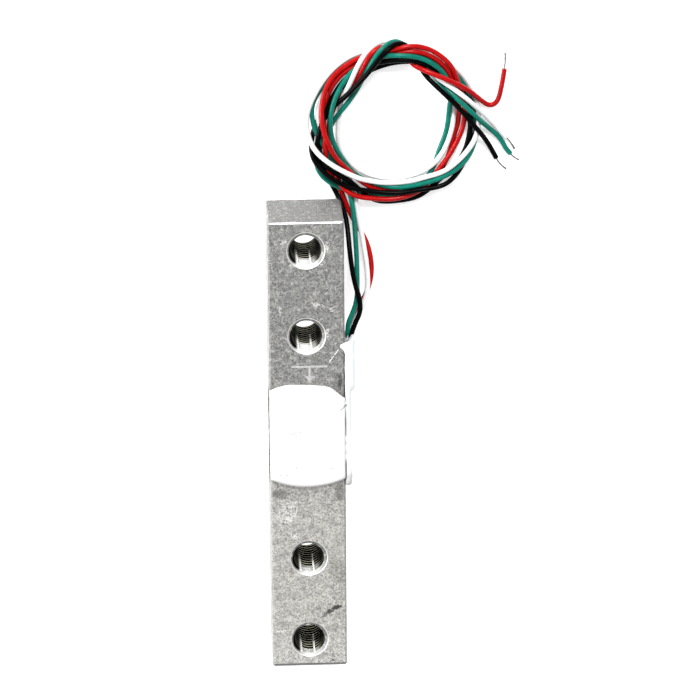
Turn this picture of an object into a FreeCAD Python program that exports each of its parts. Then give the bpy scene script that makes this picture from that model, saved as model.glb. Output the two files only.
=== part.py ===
"""Bar-type weighing load cell: an aluminium spring element with foil gauges, silicone coats and four leads.

The bar lies along Y with its tapped holes along Z. The origin is the middle of the bar, +Y is the end that
the leads pass, and +X is the side that they leave from. All sizes are in millimetres.
"""
import FreeCAD, Part
import math
import os

import Sketcher
from FreeCAD import Placement, Rotation, Vector

doc = FreeCAD.newDocument("load_cell")
sheet = doc.addObject("Spreadsheet::Sheet", "Sizes")

DIMENSIONS = [
    ("bar_length", 80, "bar, along Y"),
    ("bar_width", 12.7, "bar, along X"),
    ("bar_height", 12.7, "bar, along Z"),
    ("edge_break", 0.3, "chamfer on the bar's outer edges"),
    ("bore_radius", 3.8, "each end of the flexure window"),
    ("bore_spacing", 10, "between the window's two bores"),
    ("slot_height", 4.4, "slot that joins the two bores"),
    ("hole_inset", 5, "from the bar's end to its outer hole"),
    ("hole_pitch", 15, "between the two holes of one end"),
    ("tap_drill", 5, "wall of an M6 tapped hole before the thread is cut"),
    ("countersink_width", 6.4, "mouth of a tapped hole"),
    ("countersink_depth", 0.4, "depth of that mouth"),
    ("carrier_length", 13.2, "gauge film, along the bar"),
    ("carrier_width", 4.6, "gauge film, across the bar"),
    ("carrier_thickness", 0.08, "gauge film with its glue line"),
    ("foil_thickness", 0.04, "gauge foil above its film"),
    ("foil_line", 0.18, "width of a foil line"),
    ("grid_pitch", 0.4, "between the lines of a grid"),
    ("grid_lines", 7, "lines in each grid"),
    ("grid_length", 2.4, "length of a grid's lines"),
    ("tab_size", 1, "side of a gauge tab"),
    ("tab_pitch", 1.6, "between the tabs of a gauge"),
    ("gauge_wire", 0.22, "enamelled wire from a gauge"),
    ("wire_lift", 0.27, "wire's centre line above the metal on the faces"),
    ("wire_standoff", 0.5, "wire's centre line off the metal on the side"),
    ("wire_layer", 0.3, "second layer of wire above the first, on the side"),
    ("strip_length", 3.4, "terminal strip, along Y"),
    ("strip_start", 11.6, "terminal strip's near end, along Y"),
    ("strip_thickness", 0.3, "terminal strip's backing"),
    ("pad_width", 0.95, "terminal pad"),
    ("pad_length", 2.6, "terminal pad, along Y"),
    ("pad_pitch", 1.3, "between terminal pads, along Z"),
    ("pad_top", 3.9, "height of the uppermost terminal pad"),
    ("pad_thickness", 0.04, "terminal pad above its backing"),
    ("coat_middle", 2.25, "middle of the silicone coats along the bar"),
    ("coat_length", 18.3, "silicone coat on the bar's centre line"),
    ("coat_side_length", 15.4, "silicone coat at the bar's sides"),
    ("coat_thickness", 0.9, "upper silicone coat"),
    ("foot_thickness", 0.8, "lower silicone coat, which the bar lies on"),
    ("coat_rounding", 0.55, "rounded rim of a coat"),
    ("bead_thickness", 1.1, "silicone bead off the side of the bar"),
    ("bead_end", -5.6, "middle of the bead's rounded arm ends, along Y"),
    ("bead_lip", 0.6, "bead beyond the upper and lower faces"),
    ("bead_gap", 0.15, "bead clear of the window's mouth"),
    ("bead_rounding", 0.5, "rounded rim of the bead"),
    ("boot_start", 10.2, "thicker bead round the leads, along Y"),
    ("boot_end", 19.6, "end of that bead, where the leads come out"),
    ("boot_low", -1.3, "lower edge of that bead"),
    ("boot_high", 6.6, "upper edge of that bead"),
    ("boot_thickness", 1.75, "bead round the leads, off the side of the bar"),
    ("lead_diameter", 0.85, "insulated lead wire"),
    ("conductor_diameter", 0.3, "stripped conductor"),
    ("coil_x", 15.1, "middle of the coil"),
    ("coil_y", 53.1, "middle of the coil"),
    ("coil_outer", 14.3, "outer radius of the coil"),
    ("coil_inner", 9.9, "inner radius of the coil"),
    ("coil_height", 2.4, "height of the coil's turns"),
    ("hitch_x", 11, "middle of the bundle that crosses over the turns"),
    ("hitch_y", 63.6, "middle of the bundle that crosses over the turns"),
    ("hitch_turn", 52, "direction of that bundle, degrees from X"),
    ("hitch_length", 11.6, "length of that bundle"),
    ("hitch_width", 4, "width of that bundle"),
    ("hitch_height", 2.6, "height of that bundle"),
]

for row, (alias, number, remark) in enumerate(DIMENSIONS, start=1):
    sheet.set(f"A{row}", alias)
    sheet.set(f"B{row}", str(number))
    sheet.set(f"C{row}", remark)
    sheet.setAlias(f"B{row}", alias)
doc.recompute()


def size(alias):
    """A driving dimension, read from the sheet."""
    return float(sheet.get(alias))


half_width = size("bar_width") / 2
half_height = size("bar_height") / 2
floor = -half_height - size("foot_thickness")
nodes = []


def finish(label, shown):
    """Name a finished sub-part, so that it gets a file of its own."""
    shown.Label = label
    nodes.append(shown)
    return shown


def origin_feature(body, role):
    """One of a body's own base planes or axes."""
    for feature in body.Origin.OriginFeatures:
        if feature.Role == role:
            return feature
    raise ValueError(role)


def new_sketch(body, name, plane, lift=None):
    """A sketch on one of the body's base planes, raised along its normal by an expression."""
    sketch = body.newObject("Sketcher::SketchObject", name)
    sketch.AttachmentSupport = [(origin_feature(body, plane), "")]
    sketch.MapMode = "FlatFace"
    if lift:
        sketch.setExpression("AttachmentOffset.Base.z", lift)
    return sketch


def draw_polygon(sketch, corners):
    """A closed outline of straight lines, joined end to end. Returns the number of its first line."""
    first = sketch.GeometryCount
    ring = corners[1:] + corners[:1]
    for start, end in zip(corners, ring):
        sketch.addGeometry(Part.LineSegment(Vector(*start, 0), Vector(*end, 0)))
    count = len(corners)
    for line in range(count):
        sketch.addConstraint(
            Sketcher.Constraint("Coincident", first + line, 2, first + (line + 1) % count, 1)
        )
    return first


def bind(sketch, expression, kind, *where):
    """A dimension of the sketch, bound to the sheet."""
    index = sketch.addConstraint(Sketcher.Constraint(kind, *where))
    sketch.setExpression(f"Constraints[{index}]", expression)


def draw_rectangle(sketch, width, height):
    """A rectangle about the sketch's origin, with its sides bound to expressions of the sheet."""
    x = sheet.evalExpression(width) / 2
    y = sheet.evalExpression(height) / 2
    first = draw_polygon(sketch, [(-x, -y), (x, -y), (x, y), (-x, y)])
    for line in (first, first + 2):
        sketch.addConstraint(Sketcher.Constraint("Horizontal", line))
    for line in (first + 1, first + 3):
        sketch.addConstraint(Sketcher.Constraint("Vertical", line))
    sketch.addConstraint(Sketcher.Constraint("Symmetric", first, 1, first + 2, 1, -1, 1))
    bind(sketch, width, "DistanceX", first, 1, first, 2, 2 * x)
    bind(sketch, height, "DistanceY", first + 1, 1, first + 1, 2, 2 * y)


def pad(body, name, sketch, length, side="One side"):
    """Material built up from a sketch."""
    feature = body.newObject("PartDesign::Pad", name)
    feature.Profile = sketch
    feature.SideType = side
    feature.setExpression("Length", length)
    doc.recompute()
    return feature


def edge_names(shape, wanted):
    """The names of the edges that a test picks."""
    return [f"Edge{i}" for i, edge in enumerate(shape.Edges, start=1) if wanted(edge)]


def fillet(body, name, base, wanted, radius):
    """Rounded edges, picked by a test."""
    feature = body.newObject("PartDesign::Fillet", name)
    feature.Base = (base, edge_names(base.Shape, wanted))
    feature.setExpression("Radius", radius)
    doc.recompute()
    return feature


def new_body(name):
    return doc.addObject("PartDesign::Body", name)


def fuse(name, pieces):
    feature = doc.addObject("Part::MultiFuse", name)
    feature.Shapes = pieces
    return feature


def cut(name, base, tool):
    feature = doc.addObject("Part::Cut", name)
    feature.Base = base
    feature.Tool = tool
    doc.recompute()
    return feature


# Spring body: a square bar with a flexure window through it and four tapped holes.

body = new_body("bar")
section = new_sketch(body, "bar_outline", "XY_Plane")
draw_rectangle(section, "Sizes.bar_width", "Sizes.bar_length")
pad(body, "bar_blank", section, "Sizes.bar_height", "Symmetric")

# The window is two bores joined by a slot. The walls over the bores are the thinnest, and bend most.
window = new_sketch(body, "window_outline", "YZ_Plane")
bore = size("bore_radius")
bore_y = size("bore_spacing") / 2
slot_z = size("slot_height") / 2
slot_y = bore_y - math.sqrt(bore**2 - slot_z**2)
swing = math.pi - math.asin(slot_z / bore)
for line, z in enumerate((slot_z, -slot_z)):
    window.addGeometry(Part.LineSegment(Vector(-slot_y, z, 0), Vector(slot_y, z, 0)))
    window.addConstraint(Sketcher.Constraint("Horizontal", line))
for middle_y, start_angle in ((bore_y, -swing), (-bore_y, math.pi - swing)):
    circle = Part.Circle(Vector(middle_y, 0, 0), Vector(0, 0, 1), bore)
    arc = window.addGeometry(Part.ArcOfCircle(circle, start_angle, start_angle + 2 * swing))
    bind(window, "Sizes.bore_radius", "Radius", arc, bore)
UPPER, LOWER, NEAR, FAR = range(4)
window.addConstraint(Sketcher.Constraint("Coincident", UPPER, 2, NEAR, 2))
window.addConstraint(Sketcher.Constraint("Coincident", LOWER, 2, NEAR, 1))
window.addConstraint(Sketcher.Constraint("Coincident", UPPER, 1, FAR, 1))
window.addConstraint(Sketcher.Constraint("Coincident", LOWER, 1, FAR, 2))
window.addConstraint(Sketcher.Constraint("Symmetric", NEAR, 3, FAR, 3, -1, 1))
window.addConstraint(Sketcher.Constraint("PointOnObject", NEAR, 3, -1))
window.addConstraint(Sketcher.Constraint("Vertical", UPPER, 1, LOWER, 1))
bind(window, "Sizes.bore_spacing", "DistanceX", FAR, 3, NEAR, 3, 2 * bore_y)
bind(window, "Sizes.slot_height", "DistanceY", LOWER, 1, UPPER, 1, 2 * slot_z)
flexure = body.newObject("PartDesign::Pocket", "flexure_window")
flexure.Profile = window
flexure.SideType = "Symmetric"
flexure.Type = "ThroughAll"
doc.recompute()

# A tapped hole is turned from its half section and repeated along the bar: two at each end.
hole = new_sketch(body, "hole_section", "YZ_Plane")
hole.setExpression("AttachmentOffset.Base.x", "Sizes.hole_inset - Sizes.bar_length / 2")
wall = size("tap_drill") / 2
mouth = size("countersink_width") / 2
neck = half_height - size("countersink_depth")
first = draw_polygon(
    hole,
    [
        (0, -half_height), (mouth, -half_height), (wall, -neck),
        (wall, neck), (mouth, half_height), (0, half_height),
    ],
)
LOW_RIM, LOW_CONE, DRILLED, HIGH_CONE, HIGH_RIM, AXIS = range(first, first + 6)
for line in (LOW_RIM, HIGH_RIM):
    hole.addConstraint(Sketcher.Constraint("Horizontal", line))
hole.addConstraint(Sketcher.Constraint("Symmetric", AXIS, 1, AXIS, 2, -1, 1))
hole.addConstraint(Sketcher.Constraint("Symmetric", DRILLED, 1, DRILLED, 2, -1))
hole.addConstraint(Sketcher.Constraint("Equal", LOW_RIM, HIGH_RIM))
hole.addConstraint(Sketcher.Constraint("PointOnObject", AXIS, 1, -2))
bind(hole, "Sizes.bar_height", "DistanceY", AXIS, 2, AXIS, 1, 2 * half_height)
bind(hole, "Sizes.countersink_width / 2", "DistanceX", LOW_RIM, 1, LOW_RIM, 2, mouth)
bind(hole, "Sizes.tap_drill / 2", "DistanceX", LOW_RIM, 1, DRILLED, 1, wall)
bind(hole, "Sizes.countersink_depth", "DistanceY", LOW_RIM, 1, DRILLED, 1, size("countersink_depth"))
tapped = body.newObject("PartDesign::Groove", "tapped_hole")
tapped.Profile = hole
tapped.ReferenceAxis = (hole, ["V_Axis"])
tapped.Angle = 360
doc.recompute()
pair = body.newObject("PartDesign::LinearPattern", "hole_pair")
pair.Direction = (origin_feature(body, "Y_Axis"), [""])
pair.Mode = "Spacing"
pair.Occurrences = 2
pair.setExpression("Offset", "Sizes.hole_pitch")
other_end = body.newObject("PartDesign::Mirrored", "other_end")
other_end.MirrorPlane = (origin_feature(body, "XZ_Plane"), [""])
holes = body.newObject("PartDesign::MultiTransform", "tapped_holes")
holes.Originals = [tapped]
holes.Transformations = [pair, other_end]
body.Tip = holes
doc.recompute()


def on_two_outer_faces(edge):
    """True for the straight edges where two of the bar's outer faces meet."""
    middle = edge.CenterOfMass
    reach = (half_width, size("bar_length") / 2, half_height)
    outer = [abs(abs(c) - r) < 1e-6 for c, r in zip(middle, reach)]
    return edge.Curve.TypeId == "Part::GeomLine" and sum(outer) == 2


broken = body.newObject("PartDesign::Chamfer", "broken_edges")
broken.Base = (holes, edge_names(holes.Shape, on_two_outer_faces))
broken.setExpression("Size", "Sizes.edge_break")
doc.recompute()
spring_body = finish("spring_body", body)

# Foil gauges: on each face a film with two grids, one over each thin wall, and three tabs between them.
# The foil is one line from the first tab through both grids to the last, with a branch to the middle tab.


def heading(start, end):
    """The direction of a run along X or Y, as a vector of length one, or of length zero for no run."""
    return tuple(math.copysign(1, b - a) * (b != a) for a, b in zip(start, end))


def offset_outline(centre_line, width):
    """The outline of a line of even width that turns only at right angles."""
    sides = ([], [])
    for i, (x, y) in enumerate(centre_line):
        before = centre_line[max(i - 1, 0)]
        after = centre_line[min(i + 1, len(centre_line) - 1)]
        into = heading(before, (x, y))
        out = heading((x, y), after)
        if into == (0, 0):
            into = out
        if out == (0, 0):
            out = into
        normals = {(-into[1], into[0]), (-out[1], out[0])}
        shift = (sum(n[0] for n in normals), sum(n[1] for n in normals))
        for side, sign in zip(sides, (1, -1)):
            side.append((x + sign * shift[0] * width / 2, y + sign * shift[1] * width / 2))
    return sides[0] + sides[1][::-1]


def grid_line():
    """Centre line of the foil from the outer tab, through the grid at +Y, to the branch at the middle."""
    count = int(size("grid_lines"))
    pitch = size("grid_pitch")
    right = (count - 1) / 2 * pitch
    near = bore_y - size("grid_length") / 2
    far = bore_y + size("grid_length") / 2
    path = [(right, size("tab_pitch"))]
    for i in range(count):
        x = right - i * pitch
        ends = (near, far) if i % 2 == 0 else (far, near)
        path += [(x, y) for y in ends if (x, y) != path[-1]]
    return path + [(-right - pitch, far), (-right - pitch, 0)]


def new_gauge(name):
    body = new_body(name)
    film = new_sketch(body, f"{name}_film", "XY_Plane")
    draw_rectangle(film, "Sizes.carrier_width", "Sizes.carrier_length")
    pad(body, f"{name}_carrier", film, "Sizes.carrier_thickness")
    foil = new_sketch(body, f"{name}_foil", "XY_Plane", "Sizes.carrier_thickness")
    half = grid_line()
    whole = half[:-1] + [(x, -y) for x, y in reversed(half[:-1])]
    draw_polygon(foil, offset_outline(whole, size("foil_line")))
    pad(body, f"{name}_grids", foil, "Sizes.foil_thickness")
    tabs = new_sketch(body, f"{name}_tab", "XY_Plane", "Sizes.carrier_thickness")
    tabs.setExpression("AttachmentOffset.Base.x", "Sizes.grid_pitch * (Sizes.grid_lines - 1) / 2")
    tabs.setExpression("AttachmentOffset.Base.y", "-Sizes.tab_pitch")
    draw_rectangle(tabs, "Sizes.tab_size", "Sizes.tab_size")
    tab = pad(body, f"{name}_first_tab", tabs, "Sizes.foil_thickness")
    row = body.newObject("PartDesign::LinearPattern", f"{name}_tabs")
    row.Originals = [tab]
    row.Direction = (origin_feature(body, "Y_Axis"), [""])
    row.Mode = "Spacing"
    row.Occurrences = 3
    row.setExpression("Offset", "Sizes.tab_pitch")
    body.Tip = row
    doc.recompute()
    branch = new_sketch(body, f"{name}_branch", "XY_Plane", "Sizes.carrier_thickness")
    branch_path = [half[-1], (half[0][0], 0)]
    draw_polygon(branch, offset_outline(branch_path, size("foil_line")))
    pad(body, f"{name}_middle_line", branch, "Sizes.foil_thickness")
    return body


gauge_top = finish("gauge_top", new_gauge("upper_gauge"))
gauge_top.setExpression("Placement.Base.z", "Sizes.bar_height / 2")
gauge_bottom = finish("gauge_bottom", new_gauge("lower_gauge"))
gauge_bottom.Placement = Placement(Vector(0, 0, -half_height), Rotation(Vector(0, 1, 0), 180))
tab_x = size("grid_pitch") * (size("grid_lines") - 1) / 2

# Terminal strip: a bonded backing with four solder pads, one for each lead.
PAD_ORDER = ("black", "green", "white", "red")

body = new_body("strip")
backing = new_sketch(body, "strip_outline", "YZ_Plane")
draw_rectangle(backing, "Sizes.strip_length", "Sizes.pad_pitch * 4")
pad(body, "strip_backing", backing, "Sizes.strip_thickness")
pad_outline = new_sketch(body, "pad_outline", "YZ_Plane", "Sizes.strip_thickness")
pad_outline.setExpression("AttachmentOffset.Base.y", "-Sizes.pad_pitch * 3 / 2")
draw_rectangle(pad_outline, "Sizes.pad_length", "Sizes.pad_width")
first_pad = pad(body, "first_pad", pad_outline, "Sizes.pad_thickness")
pads = body.newObject("PartDesign::LinearPattern", "pads")
pads.Originals = [first_pad]
pads.Direction = (origin_feature(body, "Z_Axis"), [""])
pads.Mode = "Spacing"
pads.Occurrences = len(PAD_ORDER)
pads.setExpression("Offset", "Sizes.pad_pitch")
body.Tip = pads
body.setExpression("Placement.Base.x", "Sizes.bar_width / 2")
body.setExpression("Placement.Base.y", "Sizes.strip_start + Sizes.strip_length / 2")
body.setExpression("Placement.Base.z", "Sizes.pad_top - Sizes.pad_pitch * 3 / 2")
doc.recompute()
terminal_strip = finish("terminal_strip", body)
pad_face = half_width + size("strip_thickness") + size("pad_thickness")
pad_heights = {colour: size("pad_top") - i * size("pad_pitch") for i, colour in enumerate(PAD_ORDER)}

# Wires and leads: a round section swept along straight runs that tangent arcs join.
SETBACK = 0.45


def rounded_path(points, bend=None):
    """The path of a wire. Each arc is as large as its runs allow, or has the bend radius that is given."""
    places = [Vector(*point) for point in points]
    edges = []
    radii = []
    start = places[0]
    for before, corner, after in zip(places, places[1:], places[2:]):
        back = before - corner
        forth = after - corner
        half_turn = (math.pi - back.getAngle(forth)) / 2
        setback = SETBACK * min(back.Length, forth.Length)
        if bend:
            setback = min(setback, bend * math.tan(half_turn))
        radius = setback / math.tan(half_turn)
        back.normalize()
        forth.normalize()
        inward = (back + forth).normalize()
        arc_start = corner + back * setback
        arc_end = corner + forth * setback
        arc_middle = corner + inward * (radius / math.cos(half_turn) - radius)
        edges.append(Part.LineSegment(start, arc_start).toShape())
        edges.append(Part.Arc(arc_start, arc_middle, arc_end).toShape())
        radii.append(radius)
        start = arc_end
    edges.append(Part.LineSegment(start, places[-1]).toShape())
    return Part.Wire(edges), radii


def new_wire(name, points, diameter, bend=None):
    """A round wire along a path, with its diameter bound to the sheet."""
    wire, radii = rounded_path(points, bend)
    path = doc.addObject("Part::Feature", f"{name}_path")
    path.Shape = wire
    profile = doc.addObject("Part::Circle", f"{name}_section")
    profile.setExpression("Radius", f"Sizes.{diameter} / 2")
    heading = Vector(*points[1]) - Vector(*points[0])
    profile.Placement = Placement(Vector(*points[0]), Rotation(Vector(0, 0, 1), heading))
    sweep = doc.addObject("Part::Sweep", f"{name}_sweep")
    sweep.Sections = [profile]
    sweep.Spine = (path, [f"Edge{i + 1}" for i in range(len(wire.Edges))])
    sweep.Solid = True
    doc.recompute()
    expected = math.pi * size(diameter) ** 2 / 4 * wire.Length
    if abs(sweep.Shape.Volume - expected) > 0.01 * expected:
        raise ValueError(f"{name}: volume {sweep.Shape.Volume} is not {expected}")
    if not bend and radii:
        print(f"{name}: {wire.Length:.1f} mm long, bend radii {min(radii):.2f} to {max(radii):.2f} mm")
    return sweep


# Gauge wires: from a tab over the bar's edge, along the side beside the window, and to a terminal pad.
# Each entry is tab, lane (0 is nearest the face), where it turns to the pad, pad, height on the pad, layer.
GAUGE_WIRE_BEND = 0.3
LANE_PITCH = 0.6
FIRST_LANE = 0.65
PAD_ENTRY = 12.7
ROUTES = {
    "top": [
        (1, 0, 10.15, "green", 0.15, 0),
        (0, 1, 10.9, "black", 0, 1),
        (-1, 2, 9.4, "white", 0.2, 0),
    ],
    "bottom": [
        (1, 0, 10.9, "green", -0.15, 1),
        (0, 1, 10.15, "red", 0, 0),
        (-1, 2, 9.4, "white", -0.2, 0),
    ],
}


def gauge_wire_points(face, tab, lane, turn_y, colour, rise, layer):
    """The corners of one gauge wire; face is 1 for the upper side and -1 for the lower."""
    y = tab * size("tab_pitch")
    face_z = face * (half_height + size("wire_lift"))
    side_x = half_width + size("wire_standoff") + layer * size("wire_layer")
    lane_z = face * (half_height - FIRST_LANE - lane * LANE_PITCH)
    pad_z = pad_heights[colour] + rise
    return [
        (tab_x, y, face_z),
        (side_x, y, face_z),
        (side_x, y, lane_z),
        (side_x, turn_y, lane_z),
        (side_x, turn_y, pad_z),
        (side_x, PAD_ENTRY, pad_z),
    ]


gauge_wires = {}
for place, face in (("top", 1), ("bottom", -1)):
    strands = []
    for tab, lane, turn_y, colour, rise, layer in ROUTES[place]:
        points = gauge_wire_points(face, tab, lane, turn_y, colour, rise, layer)
        strands.append(new_wire(f"{place}_gauge_to_{colour}", points, "gauge_wire", GAUGE_WIRE_BEND))
    group = doc.addObject("Part::Compound", f"{place}_gauge_wire_group")
    group.Links = strands
    gauge_wires[place] = finish(f"gauge_wires_{place}", group)

# Leads: from the terminal pads through the bead, along the bar and past its end into the coil.
LEAD_ROUTES = {
    "black": [
        (7.16, 13.0, 3.9), (7.18, 16.0, 4.0), (7.4, 18.9, 3.95), (8.2, 21.1, 3.4), (9.2, 22.8, 2.75),
        (9.1, 24.9, 2.0), (8.4, 27.0, 1.1), (7.9, 29.6, 0.2), (7.6, 32.4, -0.7), (7.7, 35.2, -1.5),
        (7.6, 37.9, -2.2), (7.0, 40.3, -3.0), (6.2, 42.2, -4.2), (5.3, 43.8, -5.3),
    ],
    "green": [
        (7.16, 13.0, 2.6), (7.18, 16.0, 2.65), (7.0, 19.0, 2.45), (7.5, 21.5, 1.8), (8.4, 23.5, 1.0),
        (8.8, 25.9, 0.1), (9.0, 28.6, -0.8), (9.0, 31.4, -1.6), (8.8, 34.1, -2.4), (8.5, 36.7, -3.1),
        (8.0, 39.1, -3.9), (7.3, 41.3, -4.8), (6.5, 43.2, -5.7),
    ],
    "white": [
        (7.16, 13.0, 1.3), (7.25, 16.0, 1.32), (7.6, 18.9, 1.1), (8.5, 21.3, 0.6), (9.6, 23.4, 0.0),
        (10.3, 25.7, -0.7), (10.5, 28.3, -1.5), (10.3, 31.0, -2.2), (9.9, 33.7, -3.0), (9.5, 36.3, -3.8),
        (9.0, 38.7, -4.6), (8.3, 40.9, -5.4), (7.4, 42.8, -6.1),
    ],
    "red": [
        (7.16, 13.0, 0.0), (7.3, 16.0, -0.05), (7.9, 18.8, -0.3), (9.0, 21.1, -0.7), (10.2, 23.1, -1.2),
        (11.1, 25.3, -1.8), (11.4, 27.8, -2.5), (11.0, 30.5, -3.3), (10.2, 33.1, -4.1), (9.2, 35.6, -4.9),
        (8.1, 38.0, -5.5), (7.0, 40.3, -5.9), (6.0, 42.4, -6.3), (5.1, 44.3, -6.5),
    ],
}

# Tails: out of the coil on its inner side, over its turns and down to the floor.
TAIL_ROUTES = {
    "black": [
        (17.0, 63.3, -5.6), (18.6, 62.5, -4.8), (20.5, 61.3, -4.2), (22.4, 59.7, -4.1), (24.5, 57.9, -4.1),
        (26.4, 55.8, -4.05), (28.0, 53.7, -4.1), (29.6, 51.5, -4.7), (30.8, 49.7, -6.0), (31.8, 48.0, -6.6),
        (32.6, 46.4, -6.72),
    ],
    "green": [
        (20.6, 61.9, -5.4), (22.2, 61.0, -4.6), (23.9, 59.9, -4.1), (25.7, 58.3, -4.05), (27.4, 56.3, -4.1),
        (28.8, 54.5, -4.4), (30.1, 52.9, -5.5), (31.5, 51.5, -6.5), (32.7, 50.4, -6.72),
        (33.6, 49.2, -6.72), (34.2, 48.0, -6.72), (35.0, 47.1, -6.72),
    ],
    "white": [
        (23.4, 61.1, -5.2), (25.2, 60.0, -4.2), (27.0, 58.3, -4.1), (28.7, 56.4, -4.5), (30.3, 54.6, -5.6),
        (31.8, 52.9, -6.4), (33.1, 51.4, -6.7), (34.3, 50.0, -6.72),
    ],
    "red": [
        (16.4, 64.2, -5.6), (18.2, 63.7, -4.8), (20.3, 63.1, -4.2), (22.8, 62.3, -4.05),
        (25.3, 61.2, -4.05), (27.5, 59.7, -4.5), (29.2, 57.9, -5.6), (30.3, 56.4, -6.4),
        (31.1, 55.7, -6.7), (32.0, 55.7, -6.72), (32.7, 56.3, -6.72), (33.1, 57.3, -6.72),
        (33.4, 58.8, -6.72), (33.7, 60.4, -6.72), (33.9, 61.9, -6.72),
    ],
}

# Bare ends: the stripped conductor at the end of each tail.
BARE_ROUTES = {
    "black": [(32.6, 46.4, -6.72), (33.2, 45.2, -6.81), (34.3, 44.4, -6.95)],
    "green": [(35.0, 47.1, -6.72), (35.6, 46.425, -6.72), (36.4, 46.0, -6.8)],
    "white": [(34.3, 50.0, -6.72), (35.2, 48.95, -6.735), (35.7, 47.9, -6.9)],
    "red": [(33.9, 61.9, -6.72), (34.08, 63.25, -6.72), (34.0, 64.6, -6.8)],
}

# Coil: the outer shape of the turns, and the bundle that crosses over them at the upper left.
body = new_body("turns")
ring = new_sketch(body, "turns_section", "XZ_Plane")
round_end = size("coil_height") / 2
inner_x = size("coil_inner") + round_end
outer_x = size("coil_outer") - round_end
for z in (0, 2 * round_end):
    ring.addGeometry(Part.LineSegment(Vector(inner_x, z, 0), Vector(outer_x, z, 0)))
for x, start_angle in ((outer_x, -math.pi / 2), (inner_x, math.pi / 2)):
    circle = Part.Circle(Vector(x, round_end, 0), Vector(0, 0, 1), round_end)
    ring.addGeometry(Part.ArcOfCircle(circle, start_angle, start_angle + math.pi))
BASE, CROWN, OUTSIDE, INSIDE = range(4)
ring.addConstraint(Sketcher.Constraint("Tangent", BASE, 2, OUTSIDE, 1))
ring.addConstraint(Sketcher.Constraint("Tangent", CROWN, 2, OUTSIDE, 2))
ring.addConstraint(Sketcher.Constraint("Tangent", CROWN, 1, INSIDE, 1))
ring.addConstraint(Sketcher.Constraint("Tangent", BASE, 1, INSIDE, 2))
for line in (BASE, CROWN):
    ring.addConstraint(Sketcher.Constraint("Horizontal", line))
ring.addConstraint(Sketcher.Constraint("PointOnObject", BASE, 1, -1))
bind(ring, "Sizes.coil_height / 2", "Radius", OUTSIDE, round_end)
bind(ring, "Sizes.coil_inner + Sizes.coil_height / 2", "DistanceX", -1, 1, INSIDE, 3, inner_x)
bind(ring, "Sizes.coil_outer - Sizes.coil_height / 2", "DistanceX", -1, 1, OUTSIDE, 3, outer_x)
turns = body.newObject("PartDesign::Revolution", "turns_ring")
turns.Profile = ring
turns.ReferenceAxis = (ring, ["V_Axis"])
turns.Angle = 360
body.setExpression("Placement.Base.x", "Sizes.coil_x")
body.setExpression("Placement.Base.y", "Sizes.coil_y")
body.setExpression("Placement.Base.z", "-Sizes.bar_height / 2 - Sizes.foot_thickness")
hitch = doc.addObject("Part::Ellipsoid", "hitch")
hitch.setExpression("Radius1", "Sizes.hitch_height / 2")
hitch.setExpression("Radius2", "Sizes.hitch_length / 2")
hitch.setExpression("Radius3", "Sizes.hitch_width / 2")
hitch_z = floor + size("coil_height") - size("lead_diameter") / 2
hitch.Placement = Placement(
    Vector(size("hitch_x"), size("hitch_y"), hitch_z), Rotation(Vector(0, 0, 1), size("hitch_turn"))
)
wire_coil = finish("wire_coil", fuse("coil", [body, hitch]))
doc.recompute()

leads = {}
for colour in PAD_ORDER:
    whole = new_wire(f"{colour}_lead_run", LEAD_ROUTES[colour], "lead_diameter")
    leads[colour] = finish(f"lead_{colour}", cut(f"{colour}_lead", whole, wire_coil))
    whole = new_wire(f"{colour}_tail_run", TAIL_ROUTES[colour], "lead_diameter")
    finish(f"tail_{colour}", cut(f"{colour}_tail", whole, wire_coil))
    finish(f"bare_end_{colour}", new_wire(f"{colour}_bare", BARE_ROUTES[colour], "conductor_diameter"))

# Solder joints: a cone of solder on each gauge tab and terminal pad, round the wires that end there.
TAB_JOINT = (0.45, 0.25, 0.34)
PAD_JOINT = (0.48, 0.32, 0.5)
PAD_JOINT_Y = 12.9


def solder_cone(name, shape, place, direction):
    cone = doc.addObject("Part::Cone", name)
    cone.Radius1, cone.Radius2, cone.Height = shape
    cone.Placement = Placement(Vector(*place), Rotation(Vector(0, 0, 1), Vector(*direction)))
    return cone


tab_z = half_height + size("carrier_thickness") + size("foil_thickness")
cones = []
for face in (1, -1):
    for tab in (-1, 0, 1):
        place = (tab_x, tab * size("tab_pitch"), face * tab_z)
        cones.append(solder_cone("tab_solder", TAB_JOINT, place, (0, 0, face)))
for colour in PAD_ORDER:
    place = (pad_face, PAD_JOINT_Y, pad_heights[colour])
    cones.append(solder_cone("pad_solder", PAD_JOINT, place, (1, 0, 0)))
doc.recompute()
wires_and_leads = fuse("wires_and_leads", list(gauge_wires.values()) + list(leads.values()))
doc.recompute()
solder = doc.addObject("Part::Compound", "solder_group")
solder.Links = [cut("joint", cone, wires_and_leads) for cone in cones]
doc.recompute()
solder_joints = finish("solder_joints", solder)
embedded = fuse("embedded", [gauge_top, gauge_bottom, terminal_strip, solder_joints, wires_and_leads])
doc.recompute()

# Silicone coats: full width of the bar, with bowed ends and a rounded rim, moulded round what they cover.


def new_coat(name, thickness):
    body = new_body(name)
    outline = new_sketch(body, f"{name}_outline", "XY_Plane")
    side_y = size("coat_side_length") / 2
    end_y = size("coat_length") / 2
    for sign in (1, -1):
        corner = Vector(sign * half_width, -sign * side_y, 0)
        outline.addGeometry(Part.LineSegment(corner, Vector(sign * half_width, sign * side_y, 0)))
        bow = (
            Vector(sign * half_width, sign * side_y, 0),
            Vector(0, sign * end_y, 0),
            Vector(-sign * half_width, sign * side_y, 0),
        )
        outline.addGeometry(Part.Arc(*bow))
    built = pad(body, f"{name}_pad", outline, f"Sizes.{thickness}")

    def on_the_rim(edge):
        return abs(edge.BoundBox.ZMin - size(thickness)) < 1e-6

    fillet(body, f"{name}_rim", built, on_the_rim, "Sizes.coat_rounding")
    return body


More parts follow.
